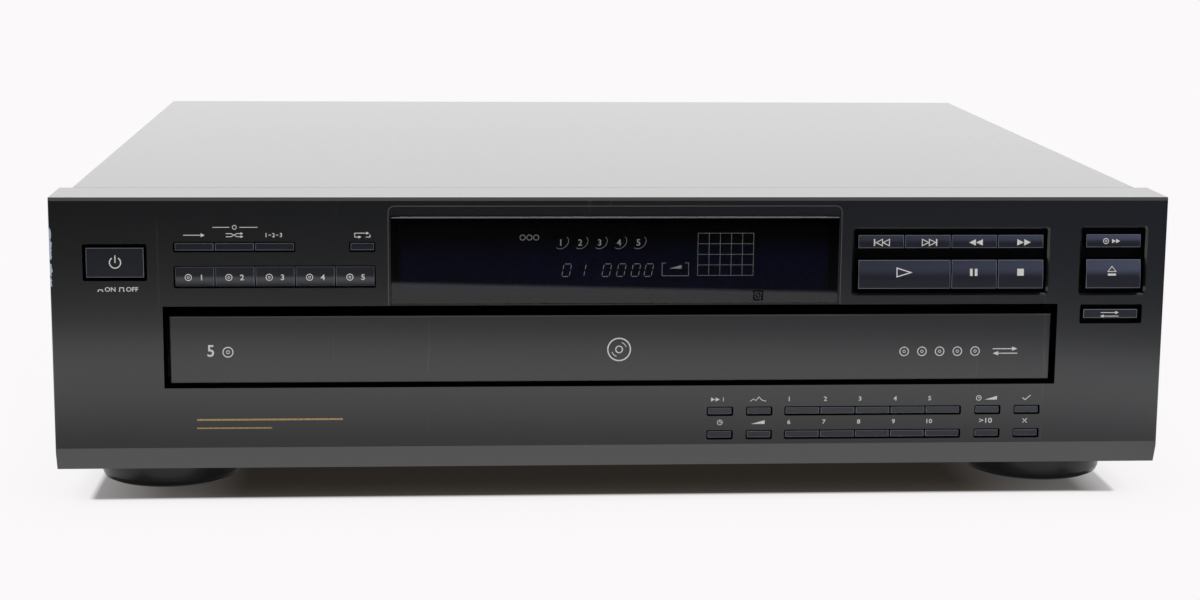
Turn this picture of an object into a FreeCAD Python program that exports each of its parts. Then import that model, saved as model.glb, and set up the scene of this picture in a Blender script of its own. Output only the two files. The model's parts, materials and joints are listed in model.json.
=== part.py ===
"""Five-disc CD changer: a low, full-width deck whose drawer carries a carousel of five disc wells.

Lengths are in millimetres. +X is the right-hand side seen from the front, +Y goes to the back and +Z is
up. The pieces are built with Y = 0 on the face of the front panel and Z = 0 on the table. On writing
they are moved along Y, so that the origin is the bottom centre of the whole deck.
"""

import FreeCAD, Part
import math
import os
from collections import namedtuple

V = FreeCAD.Vector
X_AXIS, Y_AXIS, Z_AXIS = V(1, 0, 0), V(0, 1, 0), V(0, 0, 1)

# ---------------------------------------------------------------- overall sizes
SIDE_COLUMN = 42.0          # front panel beside the drawer slot, on each side
UPPER_FASCIA = 41.8         # front panel above the drawer slot
SPACE_BEHIND_DRAWER = 17.0  # rear end of the drawer to the rear edge of the cover
FOOT_HEIGHT = 11.5
FOOT_RADIUS = 27.4
FOOT_FROM_SIDE = 39.1       # foot centre to the side of the front panel
FRONT_FOOT_Y = 44.0
REAR_FOOT_FROM_BACK = 48.0
SEAT = 0.3                  # gap between pieces that sit on or beside each other but are separate bodies

# ---------------------------------------------------------------- sheet steel case
SHEET = 1.0
COVER_SIDE_STEP = 4.0       # the cover is this much narrower than the front panel on each side
CHASSIS_SIDE_HEIGHT = 30.0
REAR_FLANGE_HEIGHT = 8.0
REAR_PANEL_INSET = 1.0      # rear panel's outer face to the cover's rear edge
TOP_FLANGE = 12.0           # rear panel's flange under the cover
COVER_LOWER_GAP = 1.5       # cover's lower edge above the underside of the chassis

# ---------------------------------------------------------------- front panel
PANEL_BOTTOM = FOOT_HEIGHT
PANEL_DEPTH = 29.5
PANEL_WALL = 3.0
PANEL_SIDE_WALL = 2.5
LOWER_BEVEL_HEIGHT = 8.9
LOWER_BEVEL_SETBACK = 3.5
TOP_BEVEL = 1.2
PANEL_EDGE_RADIUS = 0.8
WELL_DEPTH = 6.0            # floor of a key well behind the panel's face
WELL_FLOOR = 1.5
WELL_WALL = 1.4
WELL_CORNER = 0.7

# ---------------------------------------------------------------- drawer and carousel
SLOT_BOTTOM = 43.8
SLOT_HEIGHT = 31.9
TRAY_BOTTOM = SLOT_BOTTOM + 3.7
TRAY_HEIGHT = 12.0
TRAY_FLOOR = 2.0
TRAY_SIDE_WALL = 2.0
TRAY_FRONT_WALL = 2.5
TRAY_FRONT_HEIGHT = 19.5
TRAY_POCKET_WALL = 3.0      # walls left round the hollow under the drawer's front deck
CAROUSEL_RIM = 1.1
CAROUSEL_GAP = 1.0
CAROUSEL_SETBACK = 5.5      # carousel's rim behind the rear edge of the front panel
CAROUSEL_PLATE = 5.5
WELL_CIRCLE = 103.5         # carousel centre to the centre of a disc well
DISC_WELLS = 5
LARGE_WELL_RADIUS = 60.4
LARGE_WELL_DEPTH = 2.4
SMALL_WELL_RADIUS = 40.4
SMALL_WELL_DEPTH = 3.6
WELL_SLOT_HALF = 23.0       # slot through a well for the disc hub and the pickup
WELL_SLOT_INNER = 84.5      # its inner end, from the carousel's centre
WELL_SLOT_CORNER = 6.0
DOME_RADIUS = 41.0
DOME_HEIGHT = 4.5           # dome above the carousel's deck
DOME_WALL = 2.0
POST_RADIUS = 5.0
POST_FIT = 0.06
BEARING_WALL = 3.5
RING_GEAR_TEETH = 160
GEAR_MODULE = 1.0
RING_GEAR_BACK = 5.0        # ring gear's rim behind its pitch circle
RING_GEAR_HEIGHT = 2.6
TRACK_WIDTH = 2.4
TABLE_GEAR_TEETH = 24
TABLE_GEAR_BEARING = 50.0   # direction from the carousel's centre to the table gear, in degrees
TABLE_MOTOR_RADIUS = 11.5
TABLE_MOTOR_LENGTH = 11.0
SHAFT_RADIUS = 1.0
SHAFT_FIT = 0.05
RUNNER_WIDTH = 3.0
RUNNER_HEIGHT = 3.0
RUNNER_RISE = 3.5           # lower edge of a runner above the drawer's underside
SLOT_SIDE_CLEARANCE = 2.0
RUNNER_FRONT = 40.0

CAROUSEL_RADIUS = WELL_CIRCLE + LARGE_WELL_RADIUS + CAROUSEL_RIM
CAROUSEL_CENTRE_Y = PANEL_DEPTH + CAROUSEL_SETBACK + CAROUSEL_RADIUS
HUB_Y = CAROUSEL_CENTRE_Y + WELL_CIRCLE
TRAY_TOP = TRAY_BOTTOM + TRAY_HEIGHT
TRAY_FRONT_TOP = TRAY_BOTTOM + TRAY_FRONT_HEIGHT
TRAY_HALF = CAROUSEL_RADIUS + CAROUSEL_GAP + TRAY_SIDE_WALL
TRAY_REAR = CAROUSEL_CENTRE_Y + CAROUSEL_RADIUS + CAROUSEL_GAP + TRAY_SIDE_WALL
CAROUSEL_TOP = TRAY_TOP
CAROUSEL_BOTTOM = CAROUSEL_TOP - CAROUSEL_PLATE
DOME_TOP = CAROUSEL_TOP + DOME_HEIGHT
RUNNER_BOTTOM = TRAY_BOTTOM + RUNNER_RISE
RUNNER_TOP = RUNNER_BOTTOM + RUNNER_HEIGHT
SLOT_HALF = TRAY_HALF + RUNNER_WIDTH + SLOT_SIDE_CLEARANCE
SLOT_TOP = SLOT_BOTTOM + SLOT_HEIGHT
PANEL_HALF = SLOT_HALF + SIDE_COLUMN
DECK_TOP = SLOT_TOP + UPPER_FASCIA  # top of the front panel and of the cover
BODY_DEPTH = TRAY_REAR + SPACE_BEHIND_DRAWER  # face of the front panel to the rear edge of the cover

# ---------------------------------------------------------------- drawer slot and display window
SLOT_SLEEVE_DEPTH = 12.0
SLOT_SLEEVE_WALL = 1.8
DOOR_SIDE_GAP = 2.4
DOOR_BOTTOM_GAP = 1.9
DOOR_TOP_GAP = 4.0
DOOR_THICKNESS = 3.0
DOOR_EDGE = 0.4
WINDOW_HALF = SLOT_HALF - 86.9
WINDOW_BOTTOM = SLOT_TOP + 0.7
WINDOW_TOP = DECK_TOP - 7.3
WINDOW_SEAT_DEPTH = 3.0
WINDOW_CLEARANCE = 0.15
WINDOW_LEDGE = 3.0          # width of the ledge that carries the window
LEDGE_THICKNESS = 2.0
FRAME_TOP = DECK_TOP - 3.4  # shallow sunk field round the window
FRAME_SIDE = 0.95           # the field beside the window
FRAME_CORNER = 2.3
FRAME_DEPTH = 0.35

# ---------------------------------------------------------------- keys
KEY_TRAVEL = 0.8
KEY_GAP = 0.35              # between neighbouring keys of one strip
KEY_THICKNESS = 4.2
KEY_RECESS = 0.7            # flat keys lie this far behind the panel's face
KEY_EDGE = 0.5               # rounding round the face of a flat key
CURVED_EDGE = 0.35          # and round a curved one
STEM_RADIUS = 1.2
STEM_CLEARANCE = 0.3
COLLAR_RADIUS = 1.9
COLLAR_LENGTH = 1.5
TWO_STEM_WIDTH = 20.0       # keys at least this wide stand on two stems
POWER_OUT_TRAVEL = 3.0      # the power key stands out this much when it is off
BOARD_THICKNESS = 1.6
SWITCH_SIZE = 5.6
SWITCH_PLUNGER_RADIUS = 1.5
SWITCH_PLUNGER_LENGTH = 0.7
SWITCH_BODY = 2.0
PRESS_CLEARANCE = 0.2       # left between a pressed key's stem and its switch
POWER_PRESS = 0.5           # the power key goes in this much further when it is pressed
POWER_SWITCH_LENGTH = 14.0
BOSS_RADIUS = 3.0

# A strip of keys side by side: names, left edge, pitch, lower edge, upper edge
Strip = namedtuple("Strip", "names left pitch bottom top")
# A well round one or more strips: how far it reaches past them and how its keys are shaped
Well = namedtuple("Well", "strips left right below above shape")

SMALL_KEY_WIDTH = 9.5
SMALL_KEY_HEIGHT = 2.85
MODE_KEY_HEIGHT = 3.1
DISC_KEY_HEIGHT = 7.8
UPPER_ROW_Z = SLOT_BOTTOM - 11.75   # lower edges of the two rows of small keys under the drawer
LOWER_ROW_Z = UPPER_ROW_Z - 9.4
NUMBER_PITCH = 13.86
NUMBER_LEFT = SLOT_HALF - 106.1
SCAN_LEFT = SLOT_HALF - 136.55      # left edges of the four columns of single small keys
PEAK_LEFT = SLOT_HALF - 121.15
EDIT_LEFT = SLOT_HALF - 30.95
CHECK_LEFT = SLOT_HALF - 15.35
MODE_PITCH = 15.2
MODE_LEFT = 4.9 - SLOT_HALF
REPEAT_LEFT = MODE_LEFT + 66.45
POWER_LEFT = 13.4 - PANEL_HALF
POWER_WIDTH = 22.35
RIGHT_LEFT = PANEL_HALF - 31.6      # left edge of the three keys at the right-hand end
RIGHT_WIDTH = 22.0
TRANSPORT_LEFT = WINDOW_HALF + 7.8
TRANSPORT_PITCH = 18.25
MODE_Z = SLOT_TOP + 21.35
DISC_Z = SLOT_TOP + 7.5
SKIP_Z = SLOT_TOP + 21.9            # upper row of the transport keys
PLAY_Z = SLOT_TOP + 6.3             # lower row of the transport keys
POWER_Z = SLOT_TOP + 11.0
EXCHANGE_Z = SLOT_TOP - 6.0
CONVEX_PROUD = 1.3          # the large transport keys stand out this far at their lower part,
CONVEX_STRAIGHT = 3.4       # which is straight up to here,
CONVEX_FALL = 1.1           # and their upper edge falls back this far
LEANING_STRAIGHT = 1.6      # the same for the low keys above them
LEANING_FALL = 0.45
DISC_STRAIGHT = 3.6         # the disc keys are straight at the top and fall back below
DISC_FALL = 0.7

SMALL_MARGIN = 0.45


def flat_well(strips, side=SMALL_MARGIN, below=SMALL_MARGIN, above=SMALL_MARGIN):
    """A well whose keys are flat and lie a little behind the panel's face."""
    return Well(strips, side, side, below, above, "flat")


def small_strip(names, left, lower_edge, pitch=SMALL_KEY_WIDTH + KEY_GAP):
    """One of the strips of small keys under the drawer."""
    return Strip(names, left, pitch, lower_edge, lower_edge + SMALL_KEY_HEIGHT)


NUMBER_KEYS = ["number_key_%d" % n for n in range(1, 11)]
SINGLE_KEYS = [  # name, left edge, lower edge
    ("music_scan_key", SCAN_LEFT, UPPER_ROW_Z), ("time_key", SCAN_LEFT, LOWER_ROW_Z),
    ("peak_search_key", PEAK_LEFT, UPPER_ROW_Z), ("fader_key", PEAK_LEFT, LOWER_ROW_Z),
    ("edit_fade_key", EDIT_LEFT, UPPER_ROW_Z), ("over_ten_key", EDIT_LEFT, LOWER_ROW_Z),
    ("check_key", CHECK_LEFT, UPPER_ROW_Z), ("clear_key", CHECK_LEFT, LOWER_ROW_Z),
]
DISC_KEYS = ["disc_key_%d" % n for n in range(1, 6)]
WELLS = [
    flat_well([Strip(["power_button"], POWER_LEFT, POWER_WIDTH, POWER_Z, POWER_Z + 11.7)], 1.1, 1.1, 1.4),
    flat_well([Strip(["continue_key", "shuffle_key", "program_key"], MODE_LEFT, MODE_PITCH,
                     MODE_Z, MODE_Z + MODE_KEY_HEIGHT)]),
    flat_well([Strip(["repeat_key"], REPEAT_LEFT, SMALL_KEY_WIDTH, MODE_Z, MODE_Z + MODE_KEY_HEIGHT)]),
    flat_well([Strip(DISC_KEYS, MODE_LEFT, MODE_PITCH, DISC_Z, DISC_Z + DISC_KEY_HEIGHT)]),
    Well([
        Strip(["previous_key", "next_key", "rewind_key", "forward_key"], TRANSPORT_LEFT, TRANSPORT_PITCH,
              SKIP_Z, SKIP_Z + 5.2),
        Strip(["play_key", "", "pause_key", "stop_key"], TRANSPORT_LEFT, TRANSPORT_PITCH,
              PLAY_Z, PLAY_Z + 11.2),
    ], 1.6, 1.6, 2.0, 2.4, "transport"),
    Well([
        Strip(["disc_skip_key"], RIGHT_LEFT, RIGHT_WIDTH, SKIP_Z + 0.2, SKIP_Z + 5.4),
        Strip(["open_close_key"], RIGHT_LEFT, RIGHT_WIDTH, PLAY_Z, PLAY_Z + 11.3),
    ], 1.7, 1.7, 2.2, 2.6, "transport"),
    flat_well([Strip(["exchange_key"], RIGHT_LEFT, RIGHT_WIDTH, EXCHANGE_Z, EXCHANGE_Z + 3.8)],
              1.5, 1.9, 1.9),
    flat_well([small_strip(NUMBER_KEYS[:5], NUMBER_LEFT, UPPER_ROW_Z, NUMBER_PITCH)]),
    flat_well([small_strip(NUMBER_KEYS[5:], NUMBER_LEFT, LOWER_ROW_Z, NUMBER_PITCH)]),
] + [flat_well([small_strip([name], left, lower)]) for name, left, lower in SINGLE_KEYS]
CONVEX_KEYS = ("play_key", "pause_key", "stop_key", "open_close_key")
LEANING_KEYS = ("previous_key", "next_key", "rewind_key", "forward_key", "disc_skip_key")

# ---------------------------------------------------------------- drawer drive
RACK_LEFT = 46.0 - TRAY_HALF
RACK_WIDTH = 4.0
RACK_BOTTOM = SLOT_BOTTOM + 0.5
RACK_FRONT = 45.0
RACK_LENGTH = 255.0
LOADING_GEAR_TEETH = 40
LOADING_PINION_TEETH = 10
LOADING_GEAR_Y = PANEL_DEPTH + 30.5
LOADING_GEAR_HEIGHT = 9.2
PINION_HEIGHT = 5.0
LOADING_MOTOR_RADIUS = 12.0
LOADING_MOTOR_LENGTH = 15.0

# ---------------------------------------------------------------- mechanism frame
FRAME_FRONT = PANEL_DEPTH + 3.5
FRAME_REAR = TRAY_REAR + 4.0
FRAME_WALL = 6.0
FRAME_TOP_Z = TRAY_TOP + 2.5
CROSS_DROP = 14.5           # front plate's top below the drawer
CROSS_THICKNESS = 3.0
FRONT_CROSS_DEPTH = 55.0
GEAR_POST_RADIUS = 3.0
GEAR_POST_FIT = 0.06
BRIDGE_BOTTOM = CAROUSEL_TOP + 10.5
BRIDGE_THICKNESS = 3.0
BRIDGE_HALF_LENGTH = 22.0
GUIDE_RISE = 5.5            # top of the lift guides above the pickup base at rest
GUIDE_WALL = 3.0
REAR_CROSS_DEPTH = 10.0

# ---------------------------------------------------------------- pickup unit
BASE_HALF_WIDTH = 42.0
BASE_FRONT = HUB_Y - 17.0
BASE_LENGTH = 89.5
BASE_REAR = BASE_FRONT + BASE_LENGTH
BASE_BOTTOM = TRAY_BOTTOM - 7.5
BASE_THICKNESS = 2.0
BASE_SKIRT = 10.0
BASE_SKIRT_WALL = 2.0
PEG_RADIUS = 1.5
PEG_LENGTH = 4.2
PEG_DROP = 7.0
PEG_CLEARANCE = 0.3
ROD_RADIUS = 1.5
ROD_X = 16.0
ROD_Z = BASE_BOTTOM + 4.6
ROD_FIT = 0.05
LUG_LENGTH = 3.0
LUG_HALF_WIDTH = 3.0
SPINDLE_MOTOR_RADIUS = 13.0
SPINDLE_MOTOR_LENGTH = 10.0
HUB_RADIUS = 15.0
HUB_SEAT = BASE_BOTTOM + 11.9
HUB_FLANGE = 2.4
HUB_BOTTOM = HUB_SEAT - HUB_FLANGE
HUB_CONE_HEIGHT = 2.0
DISC_HOLE_RADIUS = 7.5
HUB_BOSS_RADIUS = 4.5
SLED_HALF_WIDTH = 19.4
SLED_HALF_LENGTH = 9.0
SLED_BOTTOM = BASE_BOTTOM + 2.6
SLED_THICKNESS = 4.8
SLED_TOP = SLED_BOTTOM + SLED_THICKNESS
LENS_START = 24.0           # lens to hub centre at the start of a disc
LENS_RADIUS = 3.6
LENS_TOP = SLED_TOP + 2.9
LASER_HALF_WIDTH = 11.0
LASER_DROP = 6.0
SLED_TRAVEL = 34.0

# ---------------------------------------------------------------- disc clamp
CLAMP_RADIUS = 16.0
CLAMP_BOTTOM = CAROUSEL_TOP + 3.4
CLAMP_FLANGE = 3.0
CLAMP_FLANGE_THICKNESS = 1.8
CLAMP_CLEARANCE = 0.5
CLAMP_RECESS_RADIUS = 8.5
CLAMP_RECESS_DEPTH = 4.6

# ---------------------------------------------------------------- boards, jacks and screws
MAIN_BOARD_LEFT = 8.0 - TRAY_HALF
MAIN_BOARD_RIGHT = -BASE_HALF_WIDTH - 10.0
MAIN_BOARD_LENGTH = 201.0
STANDOFF = 7.0
STANDOFF_RADIUS = 4.0
JACK_PITCH = 18.0
JACK_X = MAIN_BOARD_LEFT + 22.0
JACK_RISE = 19.5            # jacks above the chassis floor
JACK_BARREL_RADIUS = 4.15
JACK_BARREL_LENGTH = 8.0
JACK_COLLAR_RADIUS = 5.6
JACK_COLLAR_LENGTH = 1.6
JACK_BORE_RADIUS = 1.7
GLAND_X = TRAY_HALF - 18.0
GLAND_RISE = 21.5
GLAND_RADIUS = 6.5
GLAND_PROUD = 5.0
GLAND_BORE = 3.2
TRANSFORMER_WIDTH = 27.0
TRANSFORMER_LENGTH = 52.0
TRANSFORMER_HEIGHT = 44.0
TRANSFORMER_FROM_BACK = 40.0
TRANSFORMER_CORE = 9.0      # width of the core's limbs
SCREW_RADIUS = 1.5
SCREW_HEAD_RADIUS = 3.6
SCREW_HEAD = 2.0
SIDE_SCREW_Z = 30.0
SIDE_SCREW_Y = (85.0, BODY_DEPTH - 65.0)
TOP_SCREW_FROM_SIDE = 61.0

# ---------------------------------------------------------------- values worked out from the sizes
COVER_HALF = PANEL_HALF - COVER_SIDE_STEP
CHASSIS_HALF = COVER_HALF - SHEET - SEAT
REAR_PANEL_BACK = BODY_DEPTH - REAR_PANEL_INSET
REAR_PANEL_FRONT = REAR_PANEL_BACK - SHEET
FLOOR_TOP = FOOT_HEIGHT + SHEET
JACK_HEIGHT = FLOOR_TOP + JACK_RISE
GLAND_HEIGHT = FLOOR_TOP + GLAND_RISE
MAIN_BOARD_FRONT = REAR_PANEL_FRONT - 2 - MAIN_BOARD_LENGTH
RACK_PITCH_X = RACK_LEFT + RACK_WIDTH
TOP_SCREW_X = (TOP_SCREW_FROM_SIDE - COVER_HALF, 0.0, COVER_HALF - TOP_SCREW_FROM_SIDE)
TRAY_FRONT = DOOR_THICKNESS
TRAY_FLOOR_TOP = TRAY_BOTTOM + TRAY_FLOOR
FRAME_INNER = TRAY_HALF + SEAT
FRAME_OUTER = FRAME_INNER + FRAME_WALL
BRIDGE_TOP = BRIDGE_BOTTOM + BRIDGE_THICKNESS
RING_GEAR_RADIUS = RING_GEAR_TEETH * GEAR_MODULE / 2
TABLE_GEAR_RADIUS = TABLE_GEAR_TEETH * GEAR_MODULE / 2
LOADING_GEAR_RADIUS = LOADING_GEAR_TEETH * GEAR_MODULE / 2
LOADING_PINION_RADIUS = LOADING_PINION_TEETH * GEAR_MODULE / 2
RING_GEAR_BOTTOM = CAROUSEL_BOTTOM - RING_GEAR_HEIGHT
BASE_TOP = BASE_BOTTOM + BASE_THICKNESS
JACK_PROUD = JACK_COLLAR_LENGTH + JACK_BARREL_LENGTH
REARMOST = REAR_PANEL_BACK + JACK_PROUD
DECK_CENTRE_Y = (REARMOST - CONVEX_PROUD) / 2
COLLAR_START = WELL_DEPTH + WELL_FLOOR + SEAT
STEM_END = COLLAR_START + COLLAR_LENGTH
SWITCH_TIP = STEM_END + KEY_TRAVEL + PRESS_CLEARANCE
BOARD_FRONT = SWITCH_TIP + SWITCH_PLUNGER_LENGTH + SWITCH_BODY
BOARD_BACK = BOARD_FRONT + BOARD_THICKNESS


# ---------------------------------------------------------------- shape helpers
def box(x0, x1, y0, y1, z0, z1):
    """Block between two corners."""
    return Part.makeBox(x1 - x0, y1 - y0, z1 - z0, V(x0, y0, z0))


def rod(radius, x, y, z, length, axis=Z_AXIS):
    """Round bar that starts at a point and runs along an axis."""
    return Part.makeCylinder(radius, length, V(x, y, z), axis)


def disc(radius, x, y, z0, z1):
    """Upright cylinder between two heights."""
    return rod(radius, x, y, z0, z1 - z0)


def joined(shapes):
    """One solid from several that touch or overlap."""
    return shapes[0].multiFuse(shapes[1:]).removeSplitter()


def edges_along(shape, axis):
    """The straight edges of a shape that run along an axis."""
    found = []
    for edge in shape.Edges:
        if isinstance(edge.Curve, Part.Line):
            direction = edge.Vertexes[1].Point - edge.Vertexes[0].Point
            if direction.cross(axis).Length < 1e-6 * direction.Length:
                found.append(edge)
    return found


def rounded(x0, x1, y0, y1, z0, z1, radius, axis=Y_AXIS):
    """Block with its four edges along an axis rounded."""
    block = box(x0, x1, y0, y1, z0, z1)
    return block.makeFillet(radius, edges_along(block, axis))


def prism_x(points, x0, x1):
    """Outline of (y, z) points drawn out along X."""
    corners = [V(x0, y, z) for y, z in points]
    return Part.Face(Part.makePolygon(corners + corners[:1])).extrude(V(x1 - x0, 0, 0))


def prism_z(points, z0, z1):
    """Outline of (x, y) points drawn out along Z."""
    corners = [V(x, y, z0) for x, y in points]
    return Part.Face(Part.makePolygon(corners + corners[:1])).extrude(V(0, 0, z1 - z0))


def turned(profile, x, y):
    """Solid turned about an upright axis from (radius, z) points."""
    corners = [V(x + r, y, z) for r, z in profile]
    face = Part.Face(Part.makePolygon(corners + corners[:1]))
    return face.revolve(V(x, y, 0), Z_AXIS, 360)


def tube(outer, inner, x, y, z0, z1):
    """Upright pipe."""
    return disc(outer, x, y, z0, z1).cut(disc(inner, x, y, z0 - 1, z1 + 1))


# ---------------------------------------------------------------- gears
TOOTH_ADDENDUM = 0.85 * GEAR_MODULE
TOOTH_DEDENDUM = 1.2 * GEAR_MODULE
TOOTH_HALF = 0.57 * GEAR_MODULE     # at the pitch line: the rest of the half pitch is backlash
TOOTH_SLOPE = math.tan(math.radians(20))


def tooth_half_width(height):
    """Half the thickness of a tooth at a height above its pitch line."""
    return TOOTH_HALF - height * TOOTH_SLOPE


def spur_gear(teeth, x, y, z0, z1, tooth_direction):
    """Gear wheel with one tooth centred on a direction given in degrees."""
    pitch_radius = teeth * GEAR_MODULE / 2
    points = []
    for n in range(teeth):
        middle = math.radians(tooth_direction) + 2 * math.pi * n / teeth
        for side in (-1, 1):
            heights = (-TOOTH_DEDENDUM, TOOTH_ADDENDUM)
            for height in heights if side < 0 else heights[::-1]:
                radius = pitch_radius + height
                angle = middle + side * tooth_half_width(height) / radius
                points.append((x + radius * math.cos(angle), y + radius * math.sin(angle)))
    return prism_z(points, z0, z1)


def rack(x_back, x_pitch, y0, y1, z0, z1, tooth_y):
    """Straight rack with teeth towards +X, one of them centred on tooth_y."""
    pitch = math.pi * GEAR_MODULE
    points = [(x_back, y0), (x_pitch - TOOTH_DEDENDUM, y0)]
    first = math.ceil((y0 - tooth_y + pitch / 2) / pitch)
    last = math.floor((y1 - tooth_y - pitch / 2) / pitch)
    for n in range(first, last + 1):
        middle = tooth_y + n * pitch
        for side, heights in ((-1, (-TOOTH_DEDENDUM, TOOTH_ADDENDUM)), (1, (TOOTH_ADDENDUM, -TOOTH_DEDENDUM))):
            for height in heights:
                points.append((x_pitch + height, middle + side * tooth_half_width(height)))
    points += [(x_pitch - TOOTH_DEDENDUM, y1), (x_back, y1)]
    return prism_z(points, z0, z1)


# ---------------------------------------------------------------- keys and their wells
def key_boxes(strip):
    """Name, left edge and right edge of each key of a strip. An empty name widens the key before it."""
    spans = []
    for place, name in enumerate(strip.names):
        left = strip.left + place * strip.pitch
        right = left + strip.pitch - KEY_GAP
        if name:
            spans.append([name, left, right])
        else:
            spans[-1][2] = right
    return spans


def stem_places(left, right):
    """X of each stem behind a key."""
    width, middle = right - left, (left + right) / 2
    if width < TWO_STEM_WIDTH:
        return [middle]
    return [middle - width / 4, middle + width / 4]


def well_box(well):
    """Edges of a well: left, right, lower, upper."""
    spans = [span for strip in well.strips for span in key_boxes(strip)]
    return (
        min(span[1] for span in spans) - well.left,
        max(span[2] for span in spans) + well.right,
        min(strip.bottom for strip in well.strips) - well.below,
        max(strip.top for strip in well.strips) + well.above,
    )


def flat_cap(left, right, bottom, top):
    """Flat key cap with a rounding round its face."""
    cap = box(left, right, KEY_RECESS, KEY_RECESS + KEY_THICKNESS, bottom, top)
    face_edges = [e for e in cap.Edges if e.BoundBox.YMax < KEY_RECESS + 0.01]
    return cap.makeFillet(KEY_EDGE, face_edges)


def curved_cap(left, right, start, end, front, straight, fall):
    """Key cap whose face is straight near its start edge and curves back towards its end edge."""
    back, way = KEY_RECESS + KEY_THICKNESS, 1 if end > start else -1
    bend = start + way * straight
    run = abs(end - bend)
    radius = (run**2 + fall**2) / (2 * fall)
    half = math.asin(run / radius) / 2
    middle = V(left, front + radius * (1 - math.cos(half)), bend + way * radius * math.sin(half))
    a, b, c = V(left, back, start), V(left, front, start), V(left, front, bend)
    d, e = V(left, front + fall, end), V(left, back, end)
    wire = Part.Wire([Part.makeLine(a, b), Part.makeLine(b, c), Part.Arc(c, middle, d).toShape(),
                      Part.makeLine(d, e), Part.makeLine(e, a)])
    cap = Part.Face(wire).extrude(V(right - left, 0, 0))
    rim = [edge for edge in cap.Edges if edge.BoundBox.YMax < back - 0.01
           and not (abs(edge.BoundBox.ZMin - bend) < 0.01 and abs(edge.BoundBox.ZMax - bend) < 0.01)]
    return cap.makeFillet(CURVED_EDGE, rim)


def key_cap(name, left, right, bottom, top):
    """The cap of one key, in the shape that its kind has."""
    if name in CONVEX_KEYS:
        return curved_cap(left, right, bottom, top, -CONVEX_PROUD, CONVEX_STRAIGHT, CONVEX_FALL)
    if name in LEANING_KEYS:
        return curved_cap(left, right, bottom, top, KEY_RECESS, LEANING_STRAIGHT, LEANING_FALL)
    if name in DISC_KEYS:
        return curved_cap(left, right, top, bottom, KEY_RECESS, DISC_STRAIGHT, DISC_FALL)
    return flat_cap(left, right, bottom, top)


def collar_start(name):
    """Front face of a key's collar. The power key's collar leaves room for it to come out."""
    return COLLAR_START + (POWER_OUT_TRAVEL if name == "power_button" else 0)


def key(name, left, right, bottom, top):
    """One key: its cap, its stems through the well's floor and the collar that keeps it in."""
    middle = (bottom + top) / 2
    parts = [key_cap(name, left, right, bottom, top)]
    cap_back, collar = KEY_RECESS + KEY_THICKNESS, collar_start(name)
    for x in stem_places(left, right):
        parts.append(rod(STEM_RADIUS, x, cap_back, middle, collar - cap_back, Y_AXIS))
        parts.append(rod(COLLAR_RADIUS, x, collar, middle, COLLAR_LENGTH, Y_AXIS))
    return joined(parts)


def keys():
    """Every key by name."""
    made = {}
    for well in WELLS:
        for strip in well.strips:
            for name, left, right in key_boxes(strip):
                made[name] = key(name, left, right, strip.bottom, strip.top)
    return made


# ---------------------------------------------------------------- front panel and window
TRANSPORT_BEVEL = 0.8
BOARD_SCREW_HIGH = DECK_TOP - 9.5
BOARD_SCREW_LOW = SLOT_TOP + 4.8
BOARD_SCREWS_UPPER = [
    (MODE_LEFT - 6.1, BOARD_SCREW_HIGH), (-WINDOW_HALF - 8.9, BOARD_SCREW_HIGH),
    (SLOT_HALF + 2.5, BOARD_SCREW_HIGH), (MODE_LEFT - 6.1, BOARD_SCREW_LOW), (SLOT_HALF + 2.5, BOARD_SCREW_LOW),
]
BOARD_SCREWS_LOWER = [(SCAN_LEFT - 6.6, UPPER_ROW_Z - 2.7), (SLOT_HALF + 1.0, UPPER_ROW_Z - 2.7)]
WINDOW_LOW_FACE = 0.3       # the window's face leans forward from its lower edge
WINDOW_HIGH_FACE = -1.2
WINDOW_EDGE = 0.3
INNER_BOTTOM = PANEL_BOTTOM + PANEL_SIDE_WALL
WINDOW_WALL = 1.5


def rounded_outline(x0, x1, z0, z1, radius, y):
    """Closed wire of a rectangle with round corners that faces forward."""
    k = radius * (1 - math.sqrt(0.5))
    corners = [
        ((x1 - radius, z0), (x1 - k, z0 + k), (x1, z0 + radius)),
        ((x1, z1 - radius), (x1 - k, z1 - k), (x1 - radius, z1)),
        ((x0 + radius, z1), (x0 + k, z1 - k), (x0, z1 - radius)),
        ((x0, z0 + radius), (x0 + k, z0 + k), (x0 + radius, z0)),
    ]
    edges = []
    for place, arc in enumerate(corners):
        start, middle, end = (V(px, y, pz) for px, pz in arc)
        edges.append(Part.Arc(start, middle, end).toShape())
        following = corners[(place + 1) % len(corners)][0]
        edges.append(Part.makeLine(end, V(following[0], y, following[1])))
    return Part.Wire(edges)


def well_cut(well):
    """The hollow of one key well. The transport wells have a bevel round their mouth."""
    left, right, bottom, top = well_box(well)
    hollow = rounded(left, right, -1, WELL_DEPTH, bottom, top, WELL_CORNER)
    if well.shape == "flat":
        return [hollow]
    b = TRANSPORT_BEVEL
    mouth = rounded_outline(left - b, right + b, bottom - b, top + b, WELL_CORNER + b, 0)
    throat = rounded_outline(left, right, bottom, top, WELL_CORNER, b)
    return [hollow, Part.makeLoft([mouth, throat], True, True)]


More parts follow.
